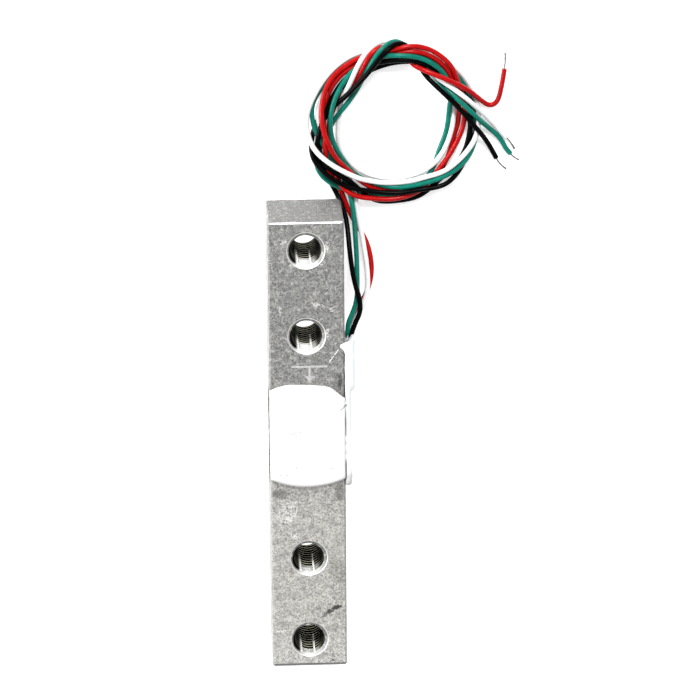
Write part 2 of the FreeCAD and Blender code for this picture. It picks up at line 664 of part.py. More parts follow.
upper = new_coat("upper_coat", "coat_thickness")
upper.Placement = Placement(Vector(0, size("coat_middle"), half_height), Rotation())
lower = new_coat("lower_coat", "foot_thickness")
lower.Placement = Placement(Vector(0, size("coat_middle"), -half_height), Rotation(Vector(0, 1, 0), 180))
doc.recompute()
finish("silicone_top", cut("upper_coat_moulded", upper, embedded))
finish("silicone_bottom", cut("lower_coat_moulded", lower, embedded))

# Silicone bead: two arms above and below the window's mouth, joined past its end, and a boot round the leads.
body = new_body("bead")
outline = new_sketch(body, "bead_outline", "YZ_Plane", "Sizes.bar_width / 2")
arm_inner = bore + size("bead_gap")
arm_outer = half_height + size("bead_lip")
arm_middle = (arm_inner + arm_outer) / 2
arm_end = size("bead_end")
tip = arm_end - (arm_outer - arm_inner) / 2
boot_start = size("boot_start")
back = boot_start + size("bead_thickness")
window_end = bore_y + arm_inner
for sign in (1, -1):
    outer = Vector(arm_end, sign * arm_outer, 0)
    inner = Vector(arm_end, sign * arm_inner, 0)
    outline.addGeometry(Part.Arc(outer, Vector(tip, sign * arm_middle, 0), inner))
    outline.addGeometry(Part.LineSegment(inner, Vector(bore_y, sign * arm_inner, 0)))
    outline.addGeometry(Part.LineSegment(outer, Vector(back, sign * arm_outer, 0)))
round_the_window = (Vector(bore_y, arm_inner, 0), Vector(window_end, 0, 0), Vector(bore_y, -arm_inner, 0))
outline.addGeometry(Part.Arc(*round_the_window))
outline.addGeometry(Part.LineSegment(Vector(back, arm_outer, 0), Vector(back, -arm_outer, 0)))
arms = pad(body, "bead_arms", outline, "Sizes.bead_thickness")
arm_x = half_width + size("bead_thickness")
boot_x = half_width + size("boot_thickness")


def on_the_arms(edge):
    """An edge of the arms' outer face."""
    return abs(edge.BoundBox.XMin - arm_x) < 1e-6


def on_the_boot(edge):
    """An edge of the boot's outer face."""
    return abs(edge.BoundBox.XMin - boot_x) < 1e-6


fillet(body, "bead_rim", arms, on_the_arms, "Sizes.bead_rounding")
boot = new_sketch(body, "boot_outline", "YZ_Plane", "Sizes.bar_width / 2")
boot.setExpression("AttachmentOffset.Base.x", "(Sizes.boot_start + Sizes.boot_end) / 2")
boot.setExpression("AttachmentOffset.Base.y", "(Sizes.boot_low + Sizes.boot_high) / 2")
draw_rectangle(boot, "Sizes.boot_end - Sizes.boot_start", "Sizes.boot_high - Sizes.boot_low")
boot_pad = pad(body, "boot", boot, "Sizes.boot_thickness")
fillet(body, "boot_rim", boot_pad, on_the_boot, "Sizes.bead_rounding")
finish("silicone_side", cut("bead_moulded", body, embedded))

# Every object has to be sound before anything is written.
doc.recompute()
for item in doc.Objects:
    if {"Invalid", "Error"} & set(item.State):
        raise ValueError(f"{item.Name}: {item.State}")
for node in nodes:
    if node.Shape.isNull() or not node.Shape.isValid() or not node.Shape.Solids:
        raise ValueError(f"{node.Label} has no sound shape")

os.makedirs("parts", exist_ok=True)
for node in nodes:
    node.Shape.exportStep(f"parts/{node.Label}.step")
    print(f"{node.Label}: {len(node.Shape.Solids)} solid(s), {node.Shape.Volume:.3f} mm3")
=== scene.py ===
# %% [markdown]
# # A bar load cell on a white table
# A load cell of this kind is a bar of aluminium with a window through its middle. When a load bends the
# thin walls of the window, foil gauges under the white silicone stretch with them, and four thin wires
# carry the signal away. The CAD model gives every piece its place and size. This lesson dresses it: it
# lays the wires, cuts the threads, and gives each surface the finish of the real one.

# %% Load the frame
import math

import bmesh
import bpy
import numpy as np
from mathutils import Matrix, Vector


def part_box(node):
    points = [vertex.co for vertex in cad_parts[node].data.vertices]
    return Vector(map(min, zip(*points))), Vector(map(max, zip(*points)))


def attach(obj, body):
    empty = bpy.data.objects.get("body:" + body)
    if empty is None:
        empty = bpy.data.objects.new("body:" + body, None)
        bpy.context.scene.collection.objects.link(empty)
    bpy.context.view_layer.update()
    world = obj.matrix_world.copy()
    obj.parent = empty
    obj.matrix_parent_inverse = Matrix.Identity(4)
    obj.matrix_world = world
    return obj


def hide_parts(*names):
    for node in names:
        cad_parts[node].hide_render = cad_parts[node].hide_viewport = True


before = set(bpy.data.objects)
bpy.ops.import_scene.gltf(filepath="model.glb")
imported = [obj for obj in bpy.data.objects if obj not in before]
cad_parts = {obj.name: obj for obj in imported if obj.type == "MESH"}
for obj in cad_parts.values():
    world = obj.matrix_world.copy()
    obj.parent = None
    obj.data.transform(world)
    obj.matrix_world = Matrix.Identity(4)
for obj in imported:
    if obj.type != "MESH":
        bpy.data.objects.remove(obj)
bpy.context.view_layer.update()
MM = 0.001
FLOOR_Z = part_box("silicone_bottom")[0][2]
print("nodes:", len(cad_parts), "floor at", round(FLOOR_Z / MM, 2), "mm")

# %% [markdown]
# ## The camera
# The photograph was taken from well above the table with a long lens, so the bar's edges are nearly
# parallel. The place and turn below were found by fitting the bar's corners and holes. A long focal
# length and a large distance give the same calm perspective.

# %% Camera
CAMERA_PLACE = (-23.34 * MM, 261.75 * MM, 688.15 * MM)
CAMERA_TURN = (-19.682, -2.700, -0.377)
SENSOR = 36.0
IMAGE_WIDTH = 700
FOCAL_PIXELS = 4337.2

bpy.ops.object.select_all(action="DESELECT")
bpy.ops.object.camera_add(location=CAMERA_PLACE, rotation=[math.radians(a) for a in CAMERA_TURN])
camera = bpy.context.object
camera.name = "photo_camera"
camera.data.sensor_width = SENSOR
camera.data.lens = SENSOR * FOCAL_PIXELS / IMAGE_WIDTH
camera.data.clip_start = 0.05
camera.data.clip_end = 20
bpy.context.scene.camera = camera
print("lens:", round(camera.data.lens, 1), "mm")

# %% [markdown]
# ## Writing shaders as expressions
# Node trees are hard to read when every link is a line of its own. The small class below wraps one
# socket, so that `1 - mask` or `height * 0.3 + grain` adds the Math nodes by itself. Every other node
# comes from its `node` method.

# %% Shader expressions


class Shade:
    """A socket of a material's nodes that can be used in arithmetic."""

    def __init__(self, tree, socket):
        self.tree = tree
        self.socket = socket

    def node(self, kind, settings=None, inputs=None, output=0):
        """Add a node, set its settings first and then its inputs, and give one of its outputs."""
        made = self.tree.nodes.new(kind)
        for name, value in (settings or {}).items():
            setattr(made, name, value)
        for name, value in (inputs or {}).items():
            if isinstance(value, Shade):
                self.tree.links.new(value.socket, made.inputs[name])
            else:
                made.inputs[name].default_value = value
        return Shade(self.tree, made.outputs[output])

    def math(self, operation, *values):
        return self.node("ShaderNodeMath", {"operation": operation}, dict(enumerate(values)))

    def __add__(self, other):
        return self.math("ADD", self, other)

    __radd__ = __add__

    def __sub__(self, other):
        return self.math("SUBTRACT", self, other)

    def __rsub__(self, other):
        return self.math("SUBTRACT", other, self)

    def __mul__(self, other):
        return self.math("MULTIPLY", self, other)

    __rmul__ = __mul__

    def __truediv__(self, other):
        return self.math("DIVIDE", self, other)

    def __lt__(self, limit):
        return self.math("LESS_THAN", self, limit)

    def __gt__(self, limit):
        return self.math("GREATER_THAN", self, limit)

    def __abs__(self):
        return self.math("ABSOLUTE", self)

    def most(self, other):
        """The larger of two values."""
        return self.math("MAXIMUM", self, other)

    def step(self, low, high):
        """A soft step: 0 below low and 1 above high."""
        settings = {"interpolation_type": "SMOOTHSTEP"}
        inputs = {"Value": self, "From Min": low, "From Max": high}
        return self.node("ShaderNodeMapRange", settings, inputs)

    def between(self, low, high):
        """The value 0 to 1 of this mask, spread from low to high."""
        return self * (high - low) + low

    def mix(self, first, second):
        """The first colour where this mask is 0, and the second where it is 1."""
        inputs = {"Factor": self, 6: first, 7: second}
        return self.node("ShaderNodeMix", {"data_type": "RGBA"}, inputs, output=2)

    def noise(self, scale, detail=2.0, roughness=0.5):
        inputs = {"Vector": self, "Scale": scale, "Detail": detail, "Roughness": roughness}
        return self.node("ShaderNodeTexNoise", None, inputs)

    def mapped(self, location=(0, 0, 0), turn=(0, 0, 0), scale=(1, 1, 1)):
        inputs = {"Vector": self, "Location": location, "Rotation": turn, "Scale": scale}
        return self.node("ShaderNodeMapping", None, inputs)

    def split(self):
        """The three parts of a vector."""
        parts = self.node("ShaderNodeSeparateXYZ", None, {"Vector": self}).socket.node
        return [Shade(self.tree, socket) for socket in parts.outputs]


def new_finish(name):
    """An empty material. Gives it, its surface node, and its object coordinates in millimetres."""
    material = bpy.data.materials.new(name)
    material.use_nodes = True
    tree = material.node_tree
    surface = tree.nodes["Principled BSDF"]
    place = Shade(tree, None).node("ShaderNodeTexCoord", output="Object")
    return material, surface, place.mapped(scale=(1 / MM,) * 3)


def feed(surface, **values):
    """Set or link inputs of a surface node: Base_Color is its Base Color."""
    for name, value in values.items():
        socket = surface.inputs[name.replace("_", " ")]
        if isinstance(value, Shade):
            value.tree.links.new(value.socket, socket)
        else:
            socket.default_value = value


def bump(height, strength, distance):
    """A Normal from a height in millimetres."""
    inputs = {"Height": height, "Strength": strength, "Distance": distance * MM}
    return height.node("ShaderNodeBump", None, inputs)


print("shader expressions ready")

# %% [markdown]
# ## The table
# The photograph is a high-key studio shot: a white table with hardly any shadow, and light from every
# side. A plain white table would be dark under the bar. One that glows a little, like a light table,
# keeps its shadows pale. Below the tapped holes it glows more, because there the bar keeps all other
# light away.

# %% Table
TABLE_SIDE = 6.0
PAPER = (0.93, 0.93, 0.93, 1)
PAPER_FIBRE = (0.91, 0.91, 0.91, 1)
GLOW = (0.36, 0.36, 0.36, 1)
FULL_GLOW = (1, 1, 1, 1)
FULL_GLOW_RADIUS = 3.6
HOLE_INSETS = (5.0, 20.0)

_, bar_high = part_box("spring_body")
BAR_TOP = bar_high[2] / MM
BAR_END = bar_high[1] / MM
BAR_SIDE = bar_high[0] / MM
HOLE_ROWS = [side * (BAR_END - inset) for side in (1, -1) for inset in HOLE_INSETS]


def along_from_hole(along):
    """Distance along the bar from the nearest hole's axis, in a material."""
    rows = sorted(HOLE_ROWS)
    nearest_row = rows[0]
    for low, high in zip(rows, rows[1:]):
        nearest_row = (along > (low + high) / 2) * (high - low) + nearest_row
    return along - nearest_row


def distance(right, up):
    """Distance from the origin of two coordinates, in a material."""
    squared = right * right + up * up
    return squared.math("SQRT", squared)


bpy.ops.object.select_all(action="DESELECT")
bpy.ops.mesh.primitive_grid_add(
    x_subdivisions=8, y_subdivisions=8, size=TABLE_SIDE, location=(0, 0, FLOOR_Z)
)
table = bpy.context.object
table.name = "table"
paper, paper_surface, paper_place = new_finish("white_table")
fibre = paper_place.noise(0.8, detail=3.0)
across, along, _ = paper_place.split()
below_hole = distance(across, along_from_hole(along)) < FULL_GLOW_RADIUS
feed(
    paper_surface,
    Base_Color=fibre.mix(PAPER_FIBRE, PAPER),
    Roughness=0.85,
    Emission_Color=below_hole.mix(GLOW, FULL_GLOW),
    Emission_Strength=1.0,
)
table.data.materials.append(paper)
print("table placed, holes at", [round(row, 1) for row in HOLE_ROWS], "mm along the bar")

# %% [markdown]
# ## The light
# A white sky gives the even light of a studio tent. A lamp at the left brightens that side face, and one
# past the lead end, half-way up, reaches a few millimetres down the wall that faces it in each hole. Both
# are wide, so that their highlights and shadows stay soft.

# %% Light
SKY_STRENGTH = 0.75
LAMP_POWER = 6.0

world = bpy.data.worlds.new("white_studio")
world.use_nodes = True
bpy.context.scene.world = world
sky = world.node_tree.nodes["Background"]
sky.inputs["Color"].default_value = (1, 1, 1, 1)
sky.inputs["Strength"].default_value = SKY_STRENGTH


def soft_lamp(name, place, aim, side):
    """A square lamp that looks at a point. All lengths are in metres."""
    bpy.ops.object.light_add(type="AREA", location=place)
    lamp = bpy.context.object
    lamp.name = name
    lamp.data.shape = "SQUARE"
    lamp.data.size = side
    lamp.data.energy = LAMP_POWER
    lamp.rotation_euler = (Vector(aim) - Vector(place)).to_track_quat("-Z", "Y").to_euler()


soft_lamp("left_lamp", place=(-0.6, 0.1, 0.25), aim=(0, 0.01, 0), side=0.3)
soft_lamp("back_lamp", place=(0.05, 0.55, 0.5), aim=(0, 0, 0), side=0.2)
bpy.context.scene.view_settings.view_transform = "Standard"
print("sky and lamps placed")

# %% [markdown]
# ## Working as by hand
# The next pieces are modelled with the same operators that the menus call. An operator acts on whatever
# is selected, so one helper selects just the pieces that are meant, and another just the vertices. A
# third adds a modifier and applies it. A copy of a CAD node has its loose triangles merged, so that
# modifiers see one closed skin.

# %% Hand tools
MERGE_DISTANCE = 0.0005


def pick(*pieces):
    """Select only these pieces, in object mode. The last one becomes the active one."""
    if bpy.context.mode != "OBJECT":
        bpy.ops.object.mode_set(mode="OBJECT")
    bpy.ops.object.select_all(action="DESELECT")
    for piece in pieces:
        piece.select_set(True)
        bpy.context.view_layer.objects.active = piece


def edit(piece, chosen=None):
    """Go into edit mode with the vertices selected whose place in millimetres passes the test."""
    pick(piece)
    bpy.ops.object.mode_set(mode="EDIT")
    bpy.ops.mesh.select_mode(type="VERT")
    bpy.ops.mesh.select_all(action="SELECT" if chosen is None else "DESELECT")
    if chosen is not None:
        skin = bmesh.from_edit_mesh(piece.data)
        for vertex in skin.verts:
            vertex.select = chosen(vertex.co / MM)
        skin.select_flush_mode()
        bmesh.update_edit_mesh(piece.data)


def finish_with(piece, kind, **settings):
    """Add a modifier and apply it."""
    modifier = piece.modifiers.new(kind.lower(), kind)
    for name, value in settings.items():
        setattr(modifier, name, value)
    pick(piece)
    bpy.ops.object.modifier_apply(modifier=modifier.name)


def add_copy(name, mesh):
    """A new piece with its own copy of a mesh."""
    piece = bpy.data.objects.new(name, mesh.copy())
    bpy.context.collection.objects.link(piece)
    return piece


def copy_of_node(node, name):
    """A copy of a CAD node as one merged skin."""
    piece = add_copy(name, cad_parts[node].data)
    edit(piece)
    bpy.ops.mesh.remove_doubles(threshold=MERGE_DISTANCE * MM)
    bpy.ops.object.mode_set(mode="OBJECT")
    return piece


def hand_over(piece, slot, finish, *nodes):
    """Give a finished piece its material and its body, and hide the CAD nodes that it stands for."""
    piece.data.materials.clear()
    piece.data.materials.append(finish)
    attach(piece, "root")
    if nodes:
        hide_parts(*nodes)
    print(piece.name, "faces:", len(piece.data.polygons))


print("hand tools ready")

# %% [markdown]
# ## The spring body
# The bar is cut from extruded aluminium, drilled through its middle for the flexure window, and tapped at
# both ends. In the CAD model the tapped holes are plain. A tap cuts a helical groove, and its lines are
# what the eye finds first in the holes. So the groove's section is drawn once and wound up by a Screw
# modifier, then copied to each hole and cut from the bar by a Boolean. A bump map would be quicker, but
# it would leave the edge of the hole round and smooth.

# %% Wind the groove
PITCH = 1.0
CREST_RADIUS = 2.42
ROOT_RADIUS = 3.0
FLANK_SPAN = 0.92
ROOT_FLAT = 0.14
STEPS_PER_TURN = 32

turns = math.ceil(2 * BAR_TOP / PITCH) + 2
first_height = -turns * PITCH / 2

pick()
middle = (CREST_RADIUS + ROOT_RADIUS) / 2
bpy.ops.mesh.primitive_plane_add(
    size=MM, location=(middle * MM, 0, first_height * MM), rotation=(math.pi / 2, 0, 0)
)
groove = bpy.context.object
bpy.ops.object.transform_apply(location=True, rotation=True, scale=True)
edit(groove)
centre = (middle * MM, 0, first_height * MM)
bpy.ops.transform.resize(value=(ROOT_RADIUS - CREST_RADIUS, 1, FLANK_SPAN), center_override=centre)
edit(groove, lambda place: place.x > middle)
bpy.ops.transform.resize(value=(1, 1, ROOT_FLAT), center_override=centre)
bpy.ops.mesh.select_all(action="SELECT")
bpy.ops.mesh.delete(type="ONLY_FACE")
bpy.ops.object.mode_set(mode="OBJECT")
finish_with(
    groove,
    "SCREW",
    axis="Z",
    angle=2 * math.pi,
    screw_offset=PITCH * MM,
    iterations=turns,
    steps=STEPS_PER_TURN,
    render_steps=STEPS_PER_TURN,
)
edit(groove)
bpy.ops.mesh.fill_holes(sides=8)
bpy.ops.mesh.select_all(action="SELECT")
bpy.ops.mesh.normals_make_consistent(inside=False)
bpy.ops.object.mode_set(mode="OBJECT")

print("groove wound up:", turns, "turns")

# %% [markdown]
# ## Tapping the holes
# Each hole gets a copy of the groove. The copies are joined, so that one Boolean cuts all four. The new
# faces need normals of their own, so those that came with the CAD mesh are cleared, and the bar is shaded
# smooth except where faces meet at a sharper angle than the one named here.

# %% Tap the holes
CRISP_FROM = math.radians(28)

cutters = []
for row in HOLE_ROWS:
    cutter = add_copy("thread_cutter", groove.data)
    cutter.location.y = row * MM
    cutters.append(cutter)
pick(*cutters)
bpy.ops.object.join()
cutter = bpy.context.object
bpy.ops.object.transform_apply(location=True, rotation=True, scale=True)

bar = copy_of_node("spring_body", "threaded_bar")
plain_faces = len(bar.data.polygons)
finish_with(bar, "BOOLEAN", operation="DIFFERENCE", solver="EXACT", object=cutter)
bpy.data.objects.remove(cutter)
bpy.data.objects.remove(groove)
pick(bar)
bpy.ops.mesh.customdata_custom_splitnormals_clear()
bpy.ops.object.shade_smooth_by_angle(angle=CRISP_FROM, keep_sharp_edges=False)
print("bar faces before and after tapping:", plain_faces, len(bar.data.polygons))

# %% [markdown]
# ## Tumbled aluminium
# The bars are tumbled with stones, which leaves a dull grey skin full of tiny dents and short, bright
# scratches. Noise at several scales gives the mottling, and stretched noise gives the scratches. A
# painted image could show the same, but noise on the bar's own coordinates has no seams and stays sharp
# from near by. One finish serves the whole bar: the skin first, then the marks on it, then the tapped
# walls. The helpers below say where a mark is.

# %% Aluminium
COOL_GREY = (0.285, 0.285, 0.272, 1)
WARM_GREY = (0.64, 0.622, 0.575, 1)
BRIGHT = (0.85, 0.84, 0.82, 1)
DULL = (0.10, 0.10, 0.10, 1)
SOOTY = (0.02, 0.02, 0.02, 1)
WALL_SHADE = (0.006, 0.005, 0.0035, 1)
ETCHED = (0.62, 0.62, 0.61, 1)
CREST_HIGHLIGHT = (0.66, 0.65, 0.52, 1)
STREAK_HIGHLIGHT = (0.72, 0.72, 0.70, 1)
NEAR_MOUTH_LIGHT = (0.40, 0.40, 0.39, 1)
FAR_MOUTH_LIGHT = (0.22, 0.22, 0.21, 1)
RIM_GREY = (0.17, 0.17, 0.165, 1)

alloy, alloy_surface, alloy_place = new_finish("tumbled_aluminium")
along_x, along_y, along_z = alloy_place.split()


def from_middle(place, x, y, half_x, half_y, turn):
    """How far out on an ellipse seen from above, squared: 1 on its edge. The turn is in degrees."""
    spot = place.mapped(location=(-x, -y, 0)).mapped(turn=(0, 0, -math.radians(turn)))
    right, up, _ = spot.split()
    right = right / half_x
    up = up / half_y
    return right * right + up * up


def blot(*ellipse):
    """A patch on the top face: 1 in its middle and 0 outside, with a ragged edge."""
    ragged = alloy_place.noise(3.5, detail=4.0, roughness=0.7).between(-1.6, 1.6)
    return 1 - (from_middle(alloy_place, *ellipse) + ragged).step(0.5, 1.1)


def stroke(x0, x1, y0, y1):
    """1 inside a rectangle on the top face."""
    return (along_x > x0) * (along_x < x1) * (along_y > y0) * (along_y < y1)


def scratches(turn, shift):
    """Short bright lines, all in one direction."""
    hair = alloy_place.mapped(location=shift, turn=(0, 0, math.radians(turn))).mapped(scale=(0.7, 5.0, 1))
    return hair.noise(1.1, detail=1.0).step(0.68, 0.76)


print("aluminium tones and marking tools ready")

# %% [markdown]
# ## The skin of the bar
# The broad tones come first, then dents and stains, then bright grit and scratches. On its upper face the
# bar is painted a warmer, lighter grey towards the far end: a painted reflection of the light.

# %% Skin of the bar
EDGE_DEPTH = 0.4
REFLECTION_BAND = (-18, 10)
PALE_BAND = (-40, -32)
SCRATCH_SETS = ((35, (0, 0, 0)), (-50, (9, 4, 2)), (80, (3, 17, 5)), (-15, (21, 8, 3)))

clouds = alloy_place.noise(0.35, detail=4.0)
blotches = alloy_place.noise(1.1, detail=5.0, roughness=0.7)
mottle = alloy_place.noise(3.2, detail=6.0, roughness=0.75)
grit = alloy_place.noise(8.0, detail=3.0, roughness=0.6)
upper = along_z > BAR_TOP - EDGE_DEPTH
# Painted reflection: the upper face is painted warmer and lighter towards the far end.
painted_reflection = (1 - along_y.step(*REFLECTION_BAND)) * upper
tone = (painted_reflection * 0.85 + clouds * 0.5 - 0.2).mix(COOL_GREY, WARM_GREY)
tone = ((1 - along_y.step(*PALE_BAND)) * upper * 0.4).mix(tone, BRIGHT)
dents = (1 - mottle.step(0.38, 0.60)) * painted_reflection.between(0.97, 0.78)
tone = dents.mix(tone, DULL)
stains = alloy_place.noise(0.8, detail=3.0, roughness=0.6)
tone = (stains.step(0.50, 0.68) * 0.4).mix(tone, DULL)
tone = (blotches.step(0.50, 0.70) * 0.4).mix(tone, BRIGHT)
tone = (grit.step(0.54, 0.70) * 0.35).mix(tone, BRIGHT)
for turn, shift in SCRATCH_SETS:
    tone = (scratches(turn, shift) * 0.4).mix(tone, BRIGHT)
print("skin of the bar mixed")

# %% [markdown]
# ## Smudges and glints
# Handling and screw heads leave dark smudges and small groups of bright scratches, and each has a place
# of its own. A row below gives the middle of one, its half lengths, its turn in degrees and its strength.
# The smudges are ragged blots, and the glints show only on the mottling's flecks, so they break up as
# real scratches do.

# %% Smudges and glints
SMUDGES = (
    (4.6, -29.2, 0.9, 0.5, 15, 0.9),
    (3.5, -29.9, 0.65, 0.5, 30, 0.8),
    (2.6, -30.6, 0.65, 0.35, 40, 0.6),
    (3.9, -39.0, 0.25, 0.2, 0, 0.9),
    (5.5, 11.8, 0.4, 1.6, 0, 0.6),
    (-4.8, -8.2, 1.7, 0.9, 0, 0.45),
    (5.3, -8.0, 0.9, 1.6, 0, 0.45),
    (5.0, -22.5, 1.6, 3.0, 20, 0.25),
)
GLINTS = (
    (-3.3, -11.5, 1.5, 2.3, -15, 0.6),
    (-4.9, -12.5, 0.5, 1.2, 10, 0.5),
    (-2.6, -16.0, 1.2, 0.35, -40, 0.7),
    (-4.6, -33.4, 1.5, 0.2, 8, 0.7),
    (1.6, 25.6, 1.3, 0.3, -15, 0.6),
    (4.2, 24.5, 0.3, 0.7, 40, 0.6),
    (-4.4, 24.6, 0.25, 0.9, 0, 0.5),
    (-3.7, 36.5, 0.7, 0.25, 30, 0.6),
    (3.5, 20.5, 0.3, 1.0, 0, 0.8),
    (3.5, 35.6, 0.3, 1.0, 0, 0.8),
    (2.4, 32.6, 0.7, 0.25, 30, 0.7),
    (-2.6, 32.3, 0.6, 0.3, -40, 0.7),
)
TOP_DEPTH = 0.1

on_top = along_z > BAR_TOP - TOP_DEPTH
flecks = on_top * mottle.step(0.44, 0.54)
for marks, cover, colour in ((SMUDGES, on_top, SOOTY), (GLINTS, flecks, BRIGHT)):
    for *ellipse, strength in marks:
        tone = (blot(*ellipse) * cover * strength).mix(tone, colour)
print("marks from handling:", len(SMUDGES), "smudges and", len(GLINTS), "glints")

# %% [markdown]
# ## The load mark
# An etched mark shows where and which way the load acts: a line with an arrow under it. It could be cut
# into the mesh, but an etched line has next to no depth, so the material draws it from two rectangles and
# a wedge, a little broken up by the grit.

# %% Load mark
ARROW_X = 0.4
ARROW_TIP, ARROW_HEAD_END = 11.9, 12.9
ARROW_SPREAD = 0.85
SHAFT_FROM, SHAFT_TO = 12.6, 14.6
LINE_FROM, LINE_TO = 14.4, 14.76
HALF_SHAFT = 0.18
HALF_LINE = 3.0

shaft = stroke(ARROW_X - HALF_SHAFT, ARROW_X + HALF_SHAFT, SHAFT_FROM, SHAFT_TO)
load_line = stroke(ARROW_X - HALF_LINE, ARROW_X + HALF_LINE, LINE_FROM, LINE_TO)
tapers = abs(along_x - ARROW_X) < (along_y - ARROW_TIP) * ARROW_SPREAD
head = tapers * (along_y < ARROW_HEAD_END)
mark = shaft.most(load_line).most(head) * on_top * grit.step(0.25, 0.6).between(0.3, 0.9)
tone = mark.mix(tone, ETCHED)
print("load mark:", 2 * HALF_LINE, "mm wide")

# %% [markdown]
# ## Ends and edges
# The end that the leads pass was sawn and is duller: it is rougher, and its colour is darkened as painted
# shade. Its upper edge carries a painted highlight. Tumbling rounds the far edge and the long edges, so
# they reflect less of the sky, and they are painted darker as painted shade. A little dirt sticks to the
# left side.

# %% Ends and edges
SAWN_DEPTH = 0.05
SIDE_DEPTH = 0.15
END_EDGE_DEPTH, END_EDGE_WIDTH = 0.2, 0.28
FAR_EDGE_WIDTH = 0.55
LONG_EDGE_WIDTH = 0.3
DIRT_FROM, DIRT_TO = -8, 17

sawn_shaded_end = along_y > BAR_END - SAWN_DEPTH
# The sawn end's colour is darkened: painted shade.
tone = (sawn_shaded_end * 0.25).mix(tone, DULL)
# A painted highlight along the upper edge of the sawn end.
end_edge_highlight = (along_z > BAR_TOP - END_EDGE_DEPTH) * (along_y > BAR_END - END_EDGE_WIDTH)
tone = end_edge_highlight.mix(tone, BRIGHT)
# The far edge and the long upper edges are darkened: painted shade.
far_edge_shade = (along_y < FAR_EDGE_WIDTH - BAR_END) * 0.85
long_edge_shade = (abs(along_x) > BAR_SIDE - LONG_EDGE_WIDTH) * upper * 0.5
tone = far_edge_shade.most(long_edge_shade).mix(tone, DULL)
dirt = alloy_place.noise(1.6, detail=3.0).step(0.54, 0.62) * (along_z < 0)
left_side = along_x < SIDE_DEPTH - BAR_SIDE
left_dirt = left_side * (along_y > DIRT_FROM) * (along_y < DIRT_TO) * dirt
tone = (left_dirt * 0.85).mix(tone, SOOTY)
print("sawn end, edges and dirt toned")

# %% [markdown]
# ## Walls of the tapped holes
# The grooves of a tapped hole are painted dark as painted shade, and the crests are painted lighter as
# painted highlights, most on the parts of the wall that lie along the bar. The groove is real geometry, so
# the distance from the hole's axis is enough to tell a crest from a root. Light falls on the wall that
# faces the lead end: there the mouth is painted paler as painted light, and two bright streaks up the
# wall are painted highlights.

# %% Walls of the tapped holes
RIM_DEPTH = 0.35
CREST_BAND = (2.49, 2.545)
MOUTH_BAND = (2.5, 3.1)
FAR_MOUTH_RISE = 1.4
GROOVE_MARGIN = 0.06
LIT_BAND = (1.2, 1.9)
NEAR_BAND = (-36, 5)
FACING_X = 0.1
FACING_BAND = (1.1, 2.1)
HIGHLIGHT_STREAKS = ((-1.5, 0.2, -0.6), (0.8, 0.13, -1.8))


def highlight_streak(x, half_width, lowest):
    """A painted highlight: a bright streak up a wall, from its lowest point to the mouth."""
    return (abs(along_x - x) < half_width) * (along_z > lowest)


off_axis = along_from_hole(along_y)
from_axis = distance(along_x, off_axis)
inside = abs(along_z) < BAR_TOP - RIM_DEPTH
in_hole = (from_axis < ROOT_RADIUS + GROOVE_MARGIN) * inside
crest = 1 - from_axis.step(*CREST_BAND)
lit_side = (1 - abs(along_x).step(*LIT_BAND)) * (off_axis < 0)
near_end = along_y.step(*NEAR_BAND)
mouth = (along_z - near_end.between(FAR_MOUTH_RISE, 0.0)).step(*MOUTH_BAND) * lit_side
left_streak, right_streak = [highlight_streak(*line) for line in HIGHLIGHT_STREAKS]
highlight_streaks = left_streak.most(right_streak) * lit_side
crest_highlight_share = (1 - abs(along_x - FACING_X).step(*FACING_BAND)).between(0.18, 1.0)
# Painted shade in the grooves and painted highlights on the crests.
wall = (crest * crest_highlight_share).mix(WALL_SHADE, CREST_HIGHLIGHT)
# The lit mouth is painted paler, broken up by the grit: painted light.
painted_mouth_light = mouth * grit.step(0.36, 0.56).between(0.45, 1.0)
wall = painted_mouth_light.mix(wall, near_end.mix(FAR_MOUTH_LIGHT, NEAR_MOUTH_LIGHT))
# Two bright streaks up the lit wall: painted highlights.
wall = highlight_streaks.mix(wall, STREAK_HIGHLIGHT)
tone = in_hole.mix(tone, wall)
# The walls in painted shade, outside the painted light of the mouth and the streaks.
shaded_walls = in_hole * (1 - mouth.most(highlight_streaks))
print("hole walls toned out to", ROOT_RADIUS + GROOVE_MARGIN, "mm from the axis")

# %% [markdown]
# ## Rims of the holes
# A countersink leaves a dull cone round each mouth, with patches that shine. Its outer line and the part
# of the cone towards the light are painted highlights.
# With the rims the bar's finish is complete. The tone goes to its colour, the walls in painted shade are
# made rougher and fully metallic, and the mottling gives a fine bump.

# %% Rims of the holes
RIM_INNER, RIM_HIGHLIGHT, RIM_OUTER = 2.45, 3.08, 3.24
RIM_FRONT_FROM = -1.6
RIM_FRONT_BAND = (1.5, 2.4)

rim = (from_axis < RIM_OUTER) * (from_axis > RIM_INNER) * (1 - inside)
# Painted highlights: the rim's outer line, and the front of the cone towards the light.
rim_highlight_line = (from_axis > RIM_HIGHLIGHT) * 0.7
rim_patches = blotches.step(0.52, 0.72) * 0.7
rim_middle = 1 - abs(along_x).step(*RIM_FRONT_BAND)
lit_rim_front = (off_axis < RIM_FRONT_FROM) * rim_middle * near_end.between(0.25, 0.5)
rim_tone = rim_highlight_line.most(rim_patches).most(lit_rim_front).mix(RIM_GREY, BRIGHT)
tone = rim.mix(tone, rim_tone)

feed(
    alloy_surface,
    Base_Color=tone,
    Metallic=shaded_walls.between(0.7, 1.0),
    Roughness=mottle.between(0.36, 0.60) + sawn_shaded_end.most(shaded_walls) * 0.3,
    Normal=bump(mottle * 0.6 + grit * 0.4, 0.4, 0.05),
)
hand_over(bar, "aluminium", alloy, "spring_body")

# %% [markdown]
# ## Cured silicone
# The gauges and their wires are sealed under white silicone, squeezed on and smoothed with a finger. It
# cures with round rims, faint waves and a few specks of dust. The CAD solids have its outline and
# thickness. A copy of each is turned into an even skin by a voxel Remesh, which melts in any extra blobs,
# then smoothed and given waves by a Displace modifier.

